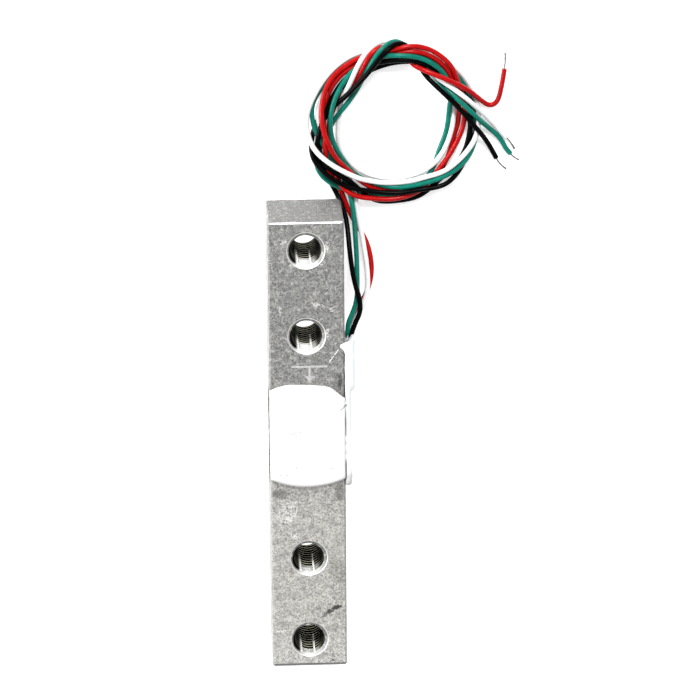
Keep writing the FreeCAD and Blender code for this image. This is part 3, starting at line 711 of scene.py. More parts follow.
# %% Silicone
SKIN_STEP = 0.16
WAVE_SIZE = 3.5
WAVE_HEIGHT = 0.14

waves = bpy.data.textures.new("silicone_waves", "CLOUDS")
waves.noise_scale = WAVE_SIZE * MM
waves.noise_depth = 1


def melt(piece, blobs=()):
    """Join blobs to a piece and turn both into one even skin."""
    lumps = []
    for centre, radii in blobs:
        pick()
        bpy.ops.mesh.primitive_uv_sphere_add(
            segments=24, ring_count=14, radius=MM, location=[c * MM for c in centre], scale=radii
        )
        lumps.append(bpy.context.object)
    pick(*lumps, piece)
    bpy.ops.object.join()
    finish_with(piece, "REMESH", mode="VOXEL", voxel_size=SKIN_STEP * MM)


def smear(piece, near, shift, reach):
    """Drag the vertices near a place, and the skin round them, as a finger would."""
    edit(piece, near)
    bpy.ops.transform.translate(
        value=[c * MM for c in shift],
        use_proportional_edit=True,
        proportional_edit_falloff="SMOOTH",
        proportional_size=reach * MM,
    )
    bpy.ops.object.mode_set(mode="OBJECT")


def cure(piece, rounds=5, height=WAVE_HEIGHT, level=0.5):
    """Smooth a skin and give it waves. At level 1 they only go inward."""
    finish_with(piece, "SMOOTH", factor=0.5, iterations=rounds)
    finish_with(
        piece, "DISPLACE", texture=waves, texture_coords="LOCAL", strength=height * MM, mid_level=level
    )
    pick(piece)
    bpy.ops.object.shade_smooth()


def string_of_beads(start, end, radius, count):
    """Blobs along a line, for a thread of silicone drawn out by the nozzle."""
    beads = []
    for i in range(count):
        t = i / (count - 1)
        centre = [a + (b - a) * t for a, b in zip(start, end)]
        beads.append((centre, (radius, radius, radius * 0.8)))
    return beads


print("silicone tools ready")

# %% [markdown]
# ## Specks in the silicone
# Dust settles in silicone before it cures, and where the nozzle was pulled away it leaves a pinched fold,
# whose crease is darkened as painted shade. One row is a painted shadow line between the coat and the
# side bead. Each is an ellipse on the top coat's coordinates. A row gives its middle, its half lengths,
# its turn in degrees and its strength, and the last two are faint smears. The bead's side is painted a
# darker, bluish white as painted shade, and the coat's far rim, which curves, is in shade.

# %% Silicone finish
SPECKS_AND_SHADE = (
    (-1.3, 3.2, 0.13, 0.13, 0, 0.75),
    (-2.0, -3.2, 0.16, 0.12, 0, 0.75),
    (-3.6, -4.5, 0.12, 0.16, 0, 0.75),
    (-4.6, -4.5, 0.12, 0.12, 0, 0.75),
    (4.0, -3.4, 0.15, 0.13, 0, 0.75),
    # The next two rows are the dark crease of the pinched fold: painted shade.
    (6.35, 7.7, 0.5, 0.2, 40, 0.75),
    (5.7, 7.2, 0.6, 0.1, 35, 0.75),
    # A painted shadow line between the coat and the side bead.
    (6.4, -3.9, 0.18, 2.0, 0, 0.75),
    (-2.4, 3.0, 0.9, 0.2, 25, 0.35),
    (-3.7, 1.8, 0.4, 0.25, 50, 0.3),
)
CLOUDED_WHITE = (0.61, 0.61, 0.61, 1)
CLEAR_WHITE = (0.69, 0.69, 0.685, 1)
BLUISH_WHITE = (0.53, 0.575, 0.59, 1)
RIM_SHADE = (0.3, 0.3, 0.3, 1)
COAT_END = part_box("silicone_top")[0][1] / MM
RIM_BOW = 0.032
RIM_BAND = (0.2, 1.2)
RIM_HEIGHT = 6
BLUISH_OUT = (6.5, 7.2)
BLUISH_ALONG = (1, 8)

sealant, sealant_surface, sealant_place = new_finish("white_silicone")
outward, toward_wires, height = sealant_place.split()
tint = sealant_place.noise(0.4, detail=3.0).mix(CLOUDED_WHITE, CLEAR_WHITE)
# The bead's side is painted darker and bluish: painted shade.
bluish_side_shade = outward.step(*BLUISH_OUT) * toward_wires.step(*BLUISH_ALONG)
tint = (bluish_side_shade * 0.8).mix(tint, BLUISH_WHITE)
far_rim = 1 - (toward_wires - outward * outward * RIM_BOW - COAT_END).step(*RIM_BAND)
tint = (far_rim * (height > RIM_HEIGHT) * 0.6).mix(tint, RIM_SHADE)
for *ellipse, strength in SPECKS_AND_SHADE:
    speck_and_shade = (1 - from_middle(sealant_place, *ellipse).step(0.4, 1.2)) * (height > 0)
    tint = (speck_and_shade * strength).mix(tint, DULL)
feed(
    sealant_surface,
    Base_Color=tint,
    Roughness=sealant_place.noise(1.2, detail=2.0).between(0.38, 0.55),
    Normal=bump(sealant_place.noise(2.0, detail=3.0), 0.15, 0.06),
)
print("silicone specks:", len(SPECKS_AND_SHADE))

# %% [markdown]
# ## The silicone coats
# The upper coat's two near corners are dragged, one back and one forward, as by a finger. The lower coat
# lies on the table, so its waves only go inward.

# %% Silicone coats
CORNERS_FROM = 8.6
RIGHT_CORNER, LEFT_CORNER = 6.0, -5.2

upper_coat = copy_of_node("silicone_top", "upper_coat")
melt(upper_coat)
smear(
    upper_coat,
    lambda place: place.x > RIGHT_CORNER and place.y > CORNERS_FROM,
    shift=(0, -0.95, 0),
    reach=2.6,
)
smear(
    upper_coat,
    lambda place: place.x < LEFT_CORNER and place.y > CORNERS_FROM,
    shift=(0, 0.6, 0),
    reach=6.0,
)
cure(upper_coat)
hand_over(upper_coat, "silicone", sealant, "silicone_top")

lower_coat = copy_of_node("silicone_bottom", "lower_coat")
melt(lower_coat)
cure(lower_coat, level=1.0)
hand_over(lower_coat, "silicone", sealant, "silicone_bottom")

# %% [markdown]
# ## The side bead
# The bead on the side is cut off on a slant where the leads come out, and gets a lobe there, a pinched
# fold, and low humps over the gauge wires. It is smoothed before the drawn-out thread is added, because
# as much smoothing would eat so thin a thread.

# %% Side bead
BEAD_ROUNDS = 14
BEAD_WAVES = 0.3
GAUGE_WIRE_ROWS = (-1.6, 0.0, 1.6)
BOOT_END = (6.35 * MM, 17.7 * MM, 0)
BOOT_SLANT = (-0.83, 0.56, 0)
BOOT_LOBE = [((5.95, 18.1, 6.35), (0.6, 0.65, 0.4)), ((6.5, 17.8, 6.0), (0.75, 1.0, 0.7))]
DRAWN_THREAD = string_of_beads(start=(5.3, 17.6, 6.5), end=(3.7, 15.3, 6.42), radius=0.15, count=18)
PINCHED_FOLD = [((6.5, 7.6, 6.5), (0.55, 0.75, 0.55)), ((6.9, 6.8, 6.2), (0.5, 0.5, 0.6))]
WIRE_HUMPS = [((6.62, y, 6.52), (0.62, 0.75, 0.5)) for y in GAUGE_WIRE_ROWS]

side_bead = copy_of_node("silicone_side", "side_bead")
edit(side_bead)
bpy.ops.mesh.bisect(plane_co=BOOT_END, plane_no=BOOT_SLANT, use_fill=True, clear_outer=True)
melt(side_bead, BOOT_LOBE + PINCHED_FOLD + WIRE_HUMPS)
cure(side_bead, rounds=BEAD_ROUNDS, height=BEAD_WAVES)
melt(side_bead, DRAWN_THREAD)
finish_with(side_bead, "SMOOTH", factor=0.5, iterations=3)
bpy.ops.object.shade_smooth()
hand_over(side_bead, "silicone", sealant, "silicone_side")

# %% [markdown]
# ## Under the silicone
# The gauges, their fine wires, the terminal strip and the solder are hidden, and the CAD solids already
# have their shapes. They only need finishes: amber film, enamelled copper, backed copper and solder.

# %% Hidden pieces


def plain_finish(name, first, second, scale, roughness, metallic):
    """A finish whose colour drifts between two tones."""
    material, surface, place = new_finish(name)
    drift = place.noise(scale, detail=4.0)
    feed(
        surface,
        Base_Color=drift.step(0.35, 0.65).mix(first, second),
        Roughness=drift.between(roughness, roughness + 0.15),
        Metallic=metallic,
        Normal=bump(drift, 0.15, 0.02),
    )
    return material


AMBER = ((0.46, 0.22, 0.05, 1), (0.56, 0.29, 0.08, 1))
ENAMEL = ((0.36, 0.10, 0.03, 1), (0.5, 0.17, 0.06, 1))
BACKED_COPPER = ((0.5, 0.36, 0.12, 1), (0.6, 0.42, 0.16, 1))
SOLDER = ((0.55, 0.55, 0.57, 1), (0.68, 0.68, 0.7, 1))

amber_film = plain_finish("amber_film", *AMBER, scale=1.5, roughness=0.35, metallic=0.0)
enamelled_copper = plain_finish("enamelled_copper", *ENAMEL, scale=2.0, roughness=0.25, metallic=0.8)
backed_copper = plain_finish("backed_copper", *BACKED_COPPER, scale=1.0, roughness=0.4, metallic=0.3)
bright_solder = plain_finish("bright_solder", *SOLDER, scale=3.0, roughness=0.22, metallic=1.0)
HIDDEN = {
    "gauge_top": amber_film,
    "gauge_bottom": amber_film,
    "gauge_wires_top": enamelled_copper,
    "gauge_wires_bottom": enamelled_copper,
    "terminal_strip": backed_copper,
    "solder_joints": bright_solder,
}
for node, finish in HIDDEN.items():
    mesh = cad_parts[node].data
    mesh.materials.clear()
    mesh.materials.append(finish)
print("hidden pieces finished:", ", ".join(HIDDEN))

# %% [markdown]
# ## The four wires
# Each wire is one limp, thin cord: it leaves the silicone, runs along the bar, winds more than twice
# round the coil, crosses over the turns, dives under them, and ends in a stripped tip. A smooth NURBS
# curve through listed points is the natural way to draw it. The leads follow the CAD route, from
# inside the silicone to the coil.

# %% Leads
WIRE_DIAMETER = 0.85
LEADS = {
    "black": [
        (7.16, 13.0, 3.9), (7.18, 16.0, 4.0), (7.4, 18.9, 3.95), (8.2, 21.1, 3.4), (9.2, 22.8, 2.75),
        (9.1, 24.9, 2.0), (8.4, 27.0, 1.1), (7.9, 29.6, 0.2), (7.6, 32.4, -0.9), (7.6, 35.0, -2.3),
        (7.5, 37.4, -4.0), (7.1, 39.2, -5.5), (6.5, 40.9, -6.5), (5.9, 42.4, -6.72),
    ],
    "green": [
        (7.16, 13.0, 2.6), (7.18, 16.0, 2.65), (7.05, 18.6, 2.5), (7.05, 20.6, 2.1), (8.0, 22.4, 1.5),
        (8.7, 24.3, 0.7), (8.8, 26.6, -0.1), (8.8, 29.0, -0.9), (8.8, 31.5, -2.0), (8.7, 33.9, -3.2),
        (8.65, 36.2, -4.5), (8.45, 38.4, -5.6), (8.1, 40.4, -6.4), (7.5, 42.1, -6.72),
    ],
    "white": [
        (7.16, 13.0, 1.3), (7.25, 16.0, 1.32), (7.6, 18.9, 1.1), (8.6, 21.3, 0.6), (9.9, 23.4, 0.0),
        (10.6, 25.7, -0.7), (10.6, 28.3, -1.6), (10.3, 31.0, -2.8), (9.9, 33.6, -4.2), (9.3, 36.0, -5.6),
        (8.8, 38.2, -6.5), (8.5, 40.2, -6.72), (8.1, 42.0, -6.72),
    ],
    "red": [
        (7.16, 13.0, 0.0), (7.25, 16.0, -0.05), (7.6, 18.8, -0.3), (8.4, 21.1, -0.7), (9.5, 23.1, -1.2),
        (10.7, 25.3, -1.8), (11.4, 27.8, -2.5), (11.3, 30.5, -3.5), (10.6, 33.0, -4.6), (9.4, 35.2, -5.3),
        (8.2, 37.4, -5.7), (7.4, 39.6, -6.2), (6.8, 41.6, -6.72),
    ],
}
print("points on the leads:", {colour: len(points) for colour, points in LEADS.items()})

# %% [markdown]
# ## Stations round the coil
# In the coil, a station is an angle, a distance from the middle and a height, which is how the eye
# follows a strand round. The angle is in degrees from the X axis and falls as the wire winds. The height
# is over the table.

# %% Stations
COIL_MIDDLE = (15.1, 53.1)
STATIONS = {
    "red": [
        (223, 13.4, 0.45), (212, 12.9, 0.6), (202, 12.2, 1.3), (191, 11.5, 1.6), (180, 11.2, 1.2),
        (160, 11.3, 0.7), (147, 11.7, 1.2), (135, 11.9, 1.3), (122, 11.8, 1.2), (112, 11.8, 1.1),
        (104, 11.9, 1.4), (95, 12.4, 2.2), (85, 13.2, 2.4), (75, 13.6, 2.3), (62, 13.5, 1.9),
        (48, 13.0, 1.5), (30, 12.1, 1.0), (14, 11.4, 0.8), (-3, 10.9, 0.6), (-14, 10.6, 0.5),
        (-30, 11.0, 0.45), (-50, 11.8, 0.45), (-70, 12.3, 0.45), (-90, 12.2, 0.5), (-104, 11.9, 1.2),
        (-115, 11.4, 1.6), (-126, 11.0, 1.6), (-138, 10.9, 1.8), (-152, 11.1, 2.4), (-166, 11.3, 3.0),
        (-177, 11.7, 3.1), (-190, 12.1, 2.9), (-203, 12.6, 2.4), (-216, 12.9, 1.9), (-232, 12.8, 1.6),
        (-246, 12.9, 1.7), (-259, 13.0, 1.7), (-271, 13.1, 2.1), (-281, 14.0, 2.1), (-290, 14.3, 1.8),
        (-300, 14.2, 1.6), (-315, 13.7, 1.4), (-324, 12.9, 1.2), (-340, 12.5, 1.25), (-355, 12.2, 1.3),
        (-366, 11.8, 1.3), (-377, 11.4, 1.3), (-391, 11.2, 1.3), (-403, 11.3, 1.25), (-412, 11.6, 1.2),
        (-421, 12.3, 1.2), (-432, 12.7, 1.2), (-444, 12.8, 1.2), (-467, 13.3, 1.2), (-478, 13.9, 1.3),
        (-488, 14.0, 1.2), (-498, 13.3, 0.7), (-510, 12.2, 0.45), (-522, 11.6, 0.45), (-535, 11.0, 0.45),
        (-548, 10.4, 0.5), (-560, 9.8, 0.8), (-575, 9.4, 1.5), (-588, 9.5, 2.2), (-600, 10.6, 2.9),
        (-609, 12.0, 3.1), (-616, 13.0, 2.7), (-621, 13.3, 1.9), (-627, 13.1, 1.35), (-634, 12.7, 1.3),
        (-641, 12.0, 1.3), (-647, 11.2, 1.4),
    ],
    "white": [
        (228, 11.7, 0.45), (215, 11.5, 0.6), (203, 11.6, 1.2), (192, 12.0, 1.4), (180, 12.6, 1.3),
        (168, 12.9, 1.0), (155, 12.6, 0.5), (140, 12.2, 0.45), (115, 11.8, 0.5), (100, 11.8, 0.5),
        (90, 12.2, 0.5), (78, 12.7, 0.45), (60, 13.2, 0.45), (40, 13.7, 0.45), (20, 14.1, 0.6),
        (0, 14.3, 1.1), (-10, 14.2, 1.6), (-18, 13.7, 1.9), (-32, 12.8, 2.1), (-44, 12.2, 2.1),
        (-59, 11.1, 2.0), (-72, 10.8, 1.7), (-83, 10.7, 1.5), (-93, 10.7, 1.5), (-111, 10.8, 1.6),
        (-123, 11.1, 1.9), (-132, 11.3, 2.1), (-143, 11.9, 2.1), (-155, 12.7, 2.0), (-165, 13.4, 1.8),
        (-175, 13.9, 1.5), (-185, 14.2, 1.4), (-195, 14.1, 1.7), (-205, 13.9, 1.7), (-215, 13.8, 1.5),
        (-226, 13.7, 1.3), (-238, 13.6, 1.2), (-255, 13.2, 1.1), (-270, 13.0, 1.2), (-285, 13.1, 1.2),
        (-300, 12.8, 0.8), (-315, 12.0, 0.8), (-330, 11.2, 0.9), (-346, 10.6, 1.1), (-360, 10.2, 1.2),
        (-374, 9.95, 1.2), (-390, 9.95, 1.25), (-399, 10.0, 1.3), (-412, 10.0, 1.3), (-430, 9.9, 1.2),
        (-450, 9.9, 1.2), (-470, 10.1, 1.2), (-482, 10.4, 1.1), (-495, 10.8, 0.8), (-508, 10.7, 0.5),
        (-525, 10.3, 0.45), (-540, 10.1, 0.45), (-552, 10.2, 0.6), (-566, 10.3, 1.3), (-582, 10.2, 2.3),
        (-600, 11.6, 3.2), (-610, 12.9, 3.0), (-618, 13.7, 2.2), (-625, 13.8, 1.2), (-631, 13.1, 0.45),
        (-638, 12.2, 0.45), (-646, 11.4, 0.45), (-655, 10.8, 0.7),
    ],
    "green": [
        (226, 12.6, 0.45), (216, 12.5, 0.5), (207, 12.4, 0.9), (199, 12.5, 1.3), (189, 12.8, 1.4),
        (178, 13.25, 1.3), (169, 13.6, 0.9), (161, 13.4, 0.5), (152, 12.9, 0.45), (140, 12.7, 0.45),
        (120, 12.5, 0.45), (100, 12.4, 0.6), (88, 12.5, 1.2), (75, 12.6, 1.1), (60, 12.4, 0.6),
        (40, 12.4, 0.45), (20, 13.0, 0.5), (3, 13.6, 0.5), (-14, 14.0, 0.7), (-27, 13.8, 1.1),
        (-39, 13.2, 1.3), (-52, 12.3, 1.3), (-67, 11.6, 1.3), (-84, 11.4, 1.25), (-98, 11.4, 1.1),
        (-107, 11.5, 0.6), (-120, 11.6, 0.45), (-132, 11.5, 0.45), (-141, 11.1, 0.6), (-151, 10.7, 1.3),
        (-166, 10.6, 2.1), (-179, 10.6, 2.5), (-191, 10.7, 2.4), (-205, 10.8, 2.2), (-219, 11.1, 1.9),
        (-237, 11.8, 1.6), (-252, 12.2, 1.7), (-267, 12.6, 2.4), (-278, 12.7, 2.5), (-288, 12.7, 2.3),
        (-301, 12.6, 1.7), (-317, 12.2, 1.2), (-330, 11.2, 1.2), (-347, 9.9, 0.9), (-360, 9.5, 0.6),
        (-374, 9.3, 0.5), (-388, 9.3, 0.45), (-398, 9.7, 0.45), (-408, 10.6, 0.45), (-417, 11.3, 0.45),
        (-432, 11.9, 0.45), (-450, 12.4, 0.45), (-466, 12.8, 0.45), (-475, 13.2, 0.45),
        (-485, 13.6, 0.45), (-495, 13.9, 0.45), (-505, 13.9, 0.45), (-513, 13.5, 0.45),
        (-521, 12.6, 0.45), (-529, 11.6, 0.45), (-537, 10.7, 0.45), (-545, 10.0, 0.5), (-553, 9.4, 0.8),
        (-563, 8.7, 1.1), (-572, 8.4, 1.2), (-581, 8.35, 1.3), (-592, 8.8, 1.6), (-605, 10.3, 2.7),
        (-613, 11.4, 3.2), (-620, 12.6, 3.1), (-626, 13.2, 2.3), (-631, 13.5, 1.2), (-637, 13.3, 0.45),
        (-644, 12.7, 0.45), (-653, 12.0, 0.45), (-662, 11.3, 0.6),
    ],
    "black": [
        (220, 13.5, 0.45), (210, 13.2, 0.7), (200, 12.8, 1.5), (190, 12.1, 2.1), (179, 11.5, 1.6),
        (165, 11.2, 1.1), (150, 11.1, 0.8), (135, 11.2, 0.5), (120, 11.4, 0.8), (100, 11.7, 1.9),
        (79, 11.8, 2.1), (62, 11.8, 1.3), (45, 11.7, 0.6), (30, 12.2, 0.45), (15, 12.9, 0.45),
        (0, 13.5, 0.5), (-10, 13.8, 0.6), (-20, 14.0, 0.8), (-31, 14.1, 1.1), (-41, 14.2, 1.2),
        (-52, 13.9, 1.3), (-64, 12.6, 1.3), (-84, 12.1, 1.25), (-100, 12.0, 1.25), (-112, 12.2, 1.3),
        (-122, 12.7, 1.6), (-133, 13.2, 1.8), (-143, 13.5, 1.8), (-153, 13.7, 1.4), (-161, 13.6, 0.9),
        (-168, 13.3, 0.5), (-178, 12.7, 0.45), (-190, 11.9, 0.45), (-210, 10.9, 0.45), (-230, 10.1, 0.45),
        (-248, 9.8, 0.6), (-262, 10.1, 0.8), (-275, 10.6, 1.0), (-288, 11.1, 0.8), (-302, 11.8, 0.45),
        (-320, 12.4, 0.45), (-340, 12.9, 0.8), (-356, 13.2, 1.2), (-368, 13.1, 1.3), (-380, 13.3, 1.2),
        (-395, 13.2, 1.0), (-414, 12.9, 0.7), (-422, 13.3, 0.7), (-431, 13.7, 0.8), (-445, 13.6, 1.0),
        (-464, 13.7, 0.8), (-476, 12.8, 1.0), (-487, 12.2, 1.5), (-498, 12.5, 1.9), (-509, 12.9, 1.9),
        (-518, 12.6, 1.3), (-527, 12.0, 0.7), (-536, 11.2, 0.45), (-545, 10.5, 0.7), (-556, 9.9, 1.2),
        (-568, 9.3, 1.9), (-581, 9.1, 2.5), (-595, 9.4, 3.2), (-609, 10.4, 3.7), (-620, 11.9, 3.7),
        (-628, 13.2, 3.1), (-632, 13.6, 2.4), (-636, 13.8, 1.7), (-641, 13.4, 1.35), (-646, 12.5, 1.3),
        (-652, 11.4, 1.4), (-657, 10.5, 1.7),
    ],
}
print("hand-placed stations:", {colour: len(stations) for colour, stations in STATIONS.items()})

# %% [markdown]
# ## Tails
# Past the crossing each wire comes off the turns and down to the table, and the four tips spread out. The
# tails follow the CAD route too.

# %% Tails
TAILS = {
    "black": [
        (20.9, 61.2, -5.0), (22.5, 59.9, -4.2), (24.5, 58.1, -4.1), (26.4, 56.1, -4.05),
        (28.0, 53.9, -4.2), (29.6, 51.7, -5.0), (30.8, 49.8, -6.1), (31.8, 48.0, -6.6),
        (32.6, 46.4, -6.72),
    ],
    "green": [
        (22.6, 60.9, -6.1), (24.2, 59.3, -5.0), (25.8, 57.8, -4.2), (27.4, 56.2, -3.9),
        (28.8, 54.5, -4.6), (30.1, 52.9, -5.7), (31.5, 51.5, -6.5), (32.7, 50.4, -6.72),
        (33.6, 49.2, -6.72), (34.2, 48.0, -6.72), (35.0, 47.1, -6.72),
    ],
    "white": [
        (21.6, 62.1, -5.7), (23.6, 60.9, -4.6), (25.4, 59.6, -4.3), (27.0, 58.2, -4.3),
        (28.7, 56.4, -4.8), (30.3, 54.6, -5.8), (31.8, 52.9, -6.5), (33.1, 51.4, -6.72),
        (34.3, 50.0, -6.72),
    ],
    "red": [
        (19.2, 63.2, -5.4), (20.9, 62.6, -4.5), (22.8, 61.8, -4.05), (25.3, 60.6, -4.05),
        (27.5, 59.2, -4.6), (29.1, 57.6, -5.6), (30.2, 56.4, -6.4), (31.1, 55.7, -6.7),
        (32.0, 55.7, -6.72), (32.7, 56.3, -6.72), (33.1, 57.3, -6.72), (33.4, 58.8, -6.72),
        (33.7, 60.4, -6.72), (33.9, 61.9, -6.72),
    ],
}
print("points on the tails:", {colour: len(points) for colour, points in TAILS.items()})

# %% [markdown]
# ## Laying the turns
# The turns are laid out as more points of the same curve, one every few degrees, by going from station to
# station. Straight steps would show as corners, so distance and height follow a smooth curve through the
# stations.

# %% Lay the turns
DEGREES_PER_POINT = 7.5


def smooth_between(values, places, wanted):
    """Follow given values with no sharp turn at any of them."""
    order = np.argsort(places)
    places = np.array(places)[order]
    values = np.array(values)[order]
    slopes = np.gradient(values, places)
    found = []
    for place in wanted:
        i = int(np.clip(np.searchsorted(places, place) - 1, 0, len(places) - 2))
        span = places[i + 1] - places[i]
        t = (place - places[i]) / span
        rise = slopes[i] * span * t * (1 - t) ** 2 - slopes[i + 1] * span * t**2 * (1 - t)
        found.append(values[i] + (values[i + 1] - values[i]) * t * t * (3 - 2 * t) + rise)
    return np.array(found)


def coil_points(stations):
    """Points round the coil, in millimetres."""
    angles, radii, heights = zip(*stations)
    steps = round((angles[0] - angles[-1]) / DEGREES_PER_POINT)
    wanted = np.linspace(angles[0], angles[-1], steps + 1)
    radius = smooth_between(radii, angles, wanted)
    height = smooth_between(heights, angles, wanted)
    turn = np.radians(wanted)
    x = COIL_MIDDLE[0] + radius * np.cos(turn)
    y = COIL_MIDDLE[1] + radius * np.sin(turn)
    return np.stack([x, y, FLOOR_Z / MM + height], axis=1)


COLOURS = ("black", "green", "white", "red")
routes = [np.array(LEADS[c] + coil_points(STATIONS[c]).tolist() + TAILS[c]) for c in COLOURS]
print("points on each wire:", [len(route) for route in routes])

# %% [markdown]
# ## Settling the strands
# Real wires can't pass through each other, so the strands settle: wherever two come closer than a
# diameter they are pushed apart, and they sink until they rest on the table or on each other. A
# simulation could do this too, but these few lines keep every strand near the place where the eye saw it.

# %% Settle the strands
FREE_FROM = 9
CLEARANCE = 0.02
ROUNDS = 260
SINKING_ROUNDS = 0.85 * ROUNDS
LOOK_AGAIN_EVERY = 10
LOOK_WITHIN = 4
OWN_NEIGHBOURS = 5
PUSH = 1.3
TOUCHING_SHARE = 0.05
SINK = 0.004
RETURN = 0.985
EVEN_OUT = 0.2


def nearest(p1, q1, p2, q2):
    """How far along two sets of straight runs their nearest points are."""
    d1, d2, between = q1 - p1, q2 - p2, p1 - p2
    a, e, b = (d1 * d1).sum(1), (d2 * d2).sum(1), (d1 * d2).sum(1)
    c, f = (d1 * between).sum(1), (d2 * between).sum(1)
    s = np.clip((b * f - c * e) / np.maximum(a * e - b * b, 1e-9), 0, 1)
    t = np.clip((b * s + f) / e, 0, 1)
    s = np.clip((b * t - c) / a, 0, 1)
    return s[:, None], t[:, None]


def settle(strands, first_free, diameter):
    """Push strands apart where they touch, and let them sink. Their first points stay where they are."""
    target = np.concatenate(strands)
    owner = np.concatenate([np.full(len(s), i) for i, s in enumerate(strands)])
    rank = np.concatenate([np.arange(len(s)) for s in strands])
    free = (rank >= first_free).astype(float)[:, None]
    run = np.nonzero(owner[:-1] == owner[1:])[0]
    one, two = np.triu_indices(len(run), 1)
    apart = (owner[run[one]] != owner[run[two]]) | (run[two] - run[one] > OWN_NEIGHBOURS)
    one, two = run[one[apart]], run[two[apart]]
    inner = np.nonzero(owner[:-2] == owner[2:])[0] + 1
    lowest = FLOOR_Z / MM + diameter / 2
    moved = np.zeros_like(target)
    smallest = 0
    for turn in range(ROUNDS):
        now = target + moved
        if turn % LOOK_AGAIN_EVERY == 0:
            gap = np.linalg.norm((now[one] + now[one + 1] - now[two] - now[two + 1]) / 2, axis=1)
            close = gap < LOOK_WITHIN * diameter
        i, j = one[close], two[close]
        s, t = nearest(now[i], now[i + 1], now[j], now[j + 1])
        line = (now[i] + s * (now[i + 1] - now[i])) - (now[j] + t * (now[j + 1] - now[j]))
        length = np.maximum(np.linalg.norm(line, axis=1, keepdims=True), 1e-6)
        push = np.maximum(diameter - length, 0) * line / length * 0.5
        pushed = np.linalg.norm(push, axis=1, keepdims=True) > 0
        smallest = length.min()
        change = np.zeros_like(now)
        count = np.full((len(now), 1), 1e-9)
        for at, weight, side in ((i, 1 - s, 1), (i + 1, s, 1), (j, 1 - t, -1), (j + 1, t, -1)):
            np.add.at(change, at, side * weight * push)
            np.add.at(count, at, (weight > TOUCHING_SHARE) * pushed)
        moved += PUSH * change / np.maximum(count, 1) ** 0.5 * free
        if turn < SINKING_ROUNDS:
            moved[:, 2:] -= SINK * free
            moved *= RETURN
        even = (moved[inner - 1] + moved[inner + 1]) / 2
        moved[inner] += EVEN_OUT * (even - moved[inner]) * free[inner]
        moved[:, 2] = np.maximum(moved[:, 2], lowest - target[:, 2])
    print("nearest strands after settling:", round(float(smallest), 3), "mm")
    now = target + moved
    return [now[owner == i] for i in range(len(strands))]


routes = dict(zip(COLOURS, settle(routes, FREE_FROM, WIRE_DIAMETER + CLEARANCE)))

# %% [markdown]
# ## Wire insulation
# Thin hook-up wire has a smooth extruded skin with a soft shine. Its colour is even, but handling leaves
# faint marks, and the skin is never perfectly round, so a fine bump breaks the highlight.

# %% Insulation


def insulation(name, colour, rubbed, mirror):
    """A soft, shiny skin in one colour with paler rubbed places. The last value is how much it mirrors."""
    material, surface, place = new_finish(name)
    cloud = place.noise(0.7, detail=3.0).step(0.35, 0.7)
    marks = place.noise(6.0, detail=2.0).step(0.55, 0.75)
    feed(
        surface,
        Base_Color=(cloud * 0.6 + marks * 0.4).mix(colour, rubbed),
        Roughness=marks.between(0.24, 0.36),
        Normal=bump(place.noise(3.0, detail=2.0), 0.25, 0.05),
        Specular_IOR_Level=mirror,
    )
    return material


SKIN_TONES = {
    "black": ((0.0008, 0.0008, 0.0009, 1), (0.002, 0.002, 0.0022, 1), 0.03),
    "green": ((0.001, 0.105, 0.075, 1), (0.003, 0.165, 0.12, 1), 0.14),
    "white": ((0.60, 0.60, 0.60, 1), (0.68, 0.68, 0.68, 1), 0.3),
    "red": ((0.27, 0.0008, 0.001, 1), (0.38, 0.002, 0.0025, 1), 0.14),
}
SKINS = {colour: insulation(f"{colour}_insulation", *tones) for colour, tones in SKIN_TONES.items()}
print("insulation colours:", ", ".join(SKINS))

# %% [markdown]
# ## Drawing a wire
# A curve with a round bevel is a wire that can still be bent by its points, which a swept mesh is not.
# The bevel's depth is 1, and each point carries the wire's true radius, so thin and thick strands share
# one helper. To measure a wire, its bevel is taken off for a moment and the bare line is read.

# %% Draw the wires


def round_curve(name, roundness):
    """A piece that is an empty curve with a round section. Each of its points carries its own radius."""
    curve = bpy.data.curves.new(name, "CURVE")
    curve.dimensions = "3D"
    curve.bevel_depth = 1.0
    curve.bevel_resolution = roundness
    curve.use_fill_caps = True
    piece = bpy.data.objects.new(name, curve)
    bpy.context.collection.objects.link(piece)
    return piece


def add_strand(piece, places, diameter):
    """Draw one smooth strand along places in metres."""
    spline = piece.data.splines.new("NURBS")
    spline.points.add(len(places) - 1)
    for control, place in zip(spline.points, places):
        control.co = (*place, 1)
        control.radius = diameter * MM / 2
    spline.order_u = 3
    spline.use_endpoint_u = True


def wire_curve(name, points, diameter):
    """A round wire along points in millimetres."""
    wire = round_curve(name, roundness=4)
    add_strand(wire, [[c * MM for c in place] for place in points], diameter)
    wire.data.resolution_u = 4
    return wire


def line_of(wire):
    """Places along a curve's own line, in metres."""
    depth = wire.data.bevel_depth
    wire.data.bevel_depth = 0
    bpy.context.view_layer.update()
    line = bpy.data.meshes.new_from_object(wire.evaluated_get(bpy.context.evaluated_depsgraph_get()))
    wire.data.bevel_depth = depth
    places = [v.co.copy() for v in line.vertices]
    bpy.data.meshes.remove(line)
    return places


print("wire tools ready")

# %% [markdown]
# ## Stripped ends
# Each wire ends in a few millimetres of stripped conductor: six tinned strands twisted round a seventh,
# which open a little at the tip. Dull tin is a darker grey than the table it reflects.

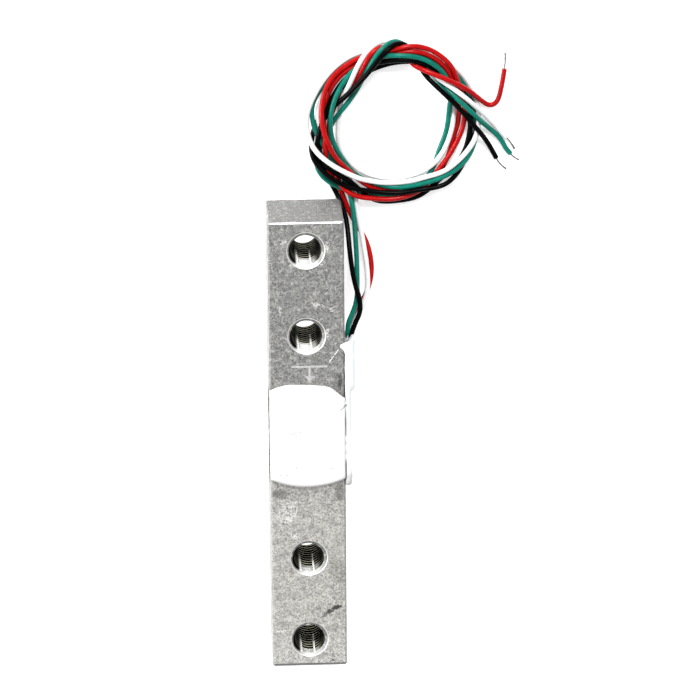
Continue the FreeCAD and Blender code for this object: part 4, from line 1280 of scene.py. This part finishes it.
# %% Stripped ends
STRAND_DIAMETER = 0.1
OUTER_STRANDS = 6
TWISTS = 1.6
FRAY = 0.06
DARK_TIN = (0.09, 0.085, 0.08, 1)
PALE_TIN = (0.24, 0.235, 0.22, 1)
BARE_ROUTES = {
    "black": [(32.6, 46.4, -6.72), (33.2, 45.2, -6.81), (34.3, 44.4, -6.95)],
    "green": [(35.0, 47.1, -6.72), (35.6, 46.425, -6.72), (36.4, 46.0, -6.8)],
    "white": [(34.3, 50.0, -6.72), (35.2, 48.95, -6.735), (35.7, 47.9, -6.9)],
    "red": [(33.9, 61.9, -6.72), (34.08, 63.25, -6.72), (34.0, 64.6, -6.8)],
}

tin, tin_surface, tin_place = new_finish("tinned_copper")
tarnish = tin_place.noise(2.5, detail=3.0)
feed(
    tin_surface,
    Base_Color=tarnish.step(0.35, 0.65).mix(DARK_TIN, PALE_TIN),
    Metallic=0.9,
    Roughness=tarnish.between(0.3, 0.5),
)


def twisted_strands(name, route):
    """Thin strands twisted round a middle one along a route, as one mesh."""
    guide = wire_curve(name, route, STRAND_DIAMETER)
    line = line_of(guide)
    bpy.data.objects.remove(guide)
    last = len(line) - 1
    up = Vector((0, 0, 1))
    strands = round_curve(name, roundness=2)
    for strand in range(OUTER_STRANDS + 1):
        places = []
        for i, centre in enumerate(line):
            share = i / last
            ahead = (line[min(i + 1, last)] - line[max(i - 1, 0)]).normalized()
            side = ahead.cross(up).normalized()
            turn = math.tau * (strand / OUTER_STRANDS + TWISTS * share)
            reach = (STRAND_DIAMETER + FRAY * share**3) * MM
            if strand == OUTER_STRANDS:
                reach = 0
            spoke = math.cos(turn) * side + math.sin(turn) * side.cross(ahead)
            places.append(centre + reach * spoke)
        add_strand(strands, places, STRAND_DIAMETER)
    pick(strands)
    bpy.ops.object.convert(target="MESH")
    bpy.ops.object.shade_smooth()
    return strands


print("strands in each bare end:", OUTER_STRANDS + 1)

# %% [markdown]
# ## Laying the wires
# Each wire goes in with its bare end. It stands for the CAD lead and tail of its colour and, with the
# other three, for the ring that marks the coil, which are hidden. Its line is then read back from the
# curve.

# %% Lay the wires
for colour in COLOURS:
    strands = twisted_strands(f"strands_{colour}", BARE_ROUTES[colour])
    hand_over(strands, "tinned_copper", tin, f"bare_end_{colour}")
    wire = wire_curve(f"wire_{colour}", routes[colour], WIRE_DIAMETER)
    wire.data.materials.append(SKINS[colour])
    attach(wire, "root")
    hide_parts(f"lead_{colour}", f"tail_{colour}", "wire_coil")
    line = line_of(wire)

# %% [markdown]
# ## Closing the scene
# The last call brings the scene's view layer up to date.

# %% Close
bpy.context.view_layer.update()
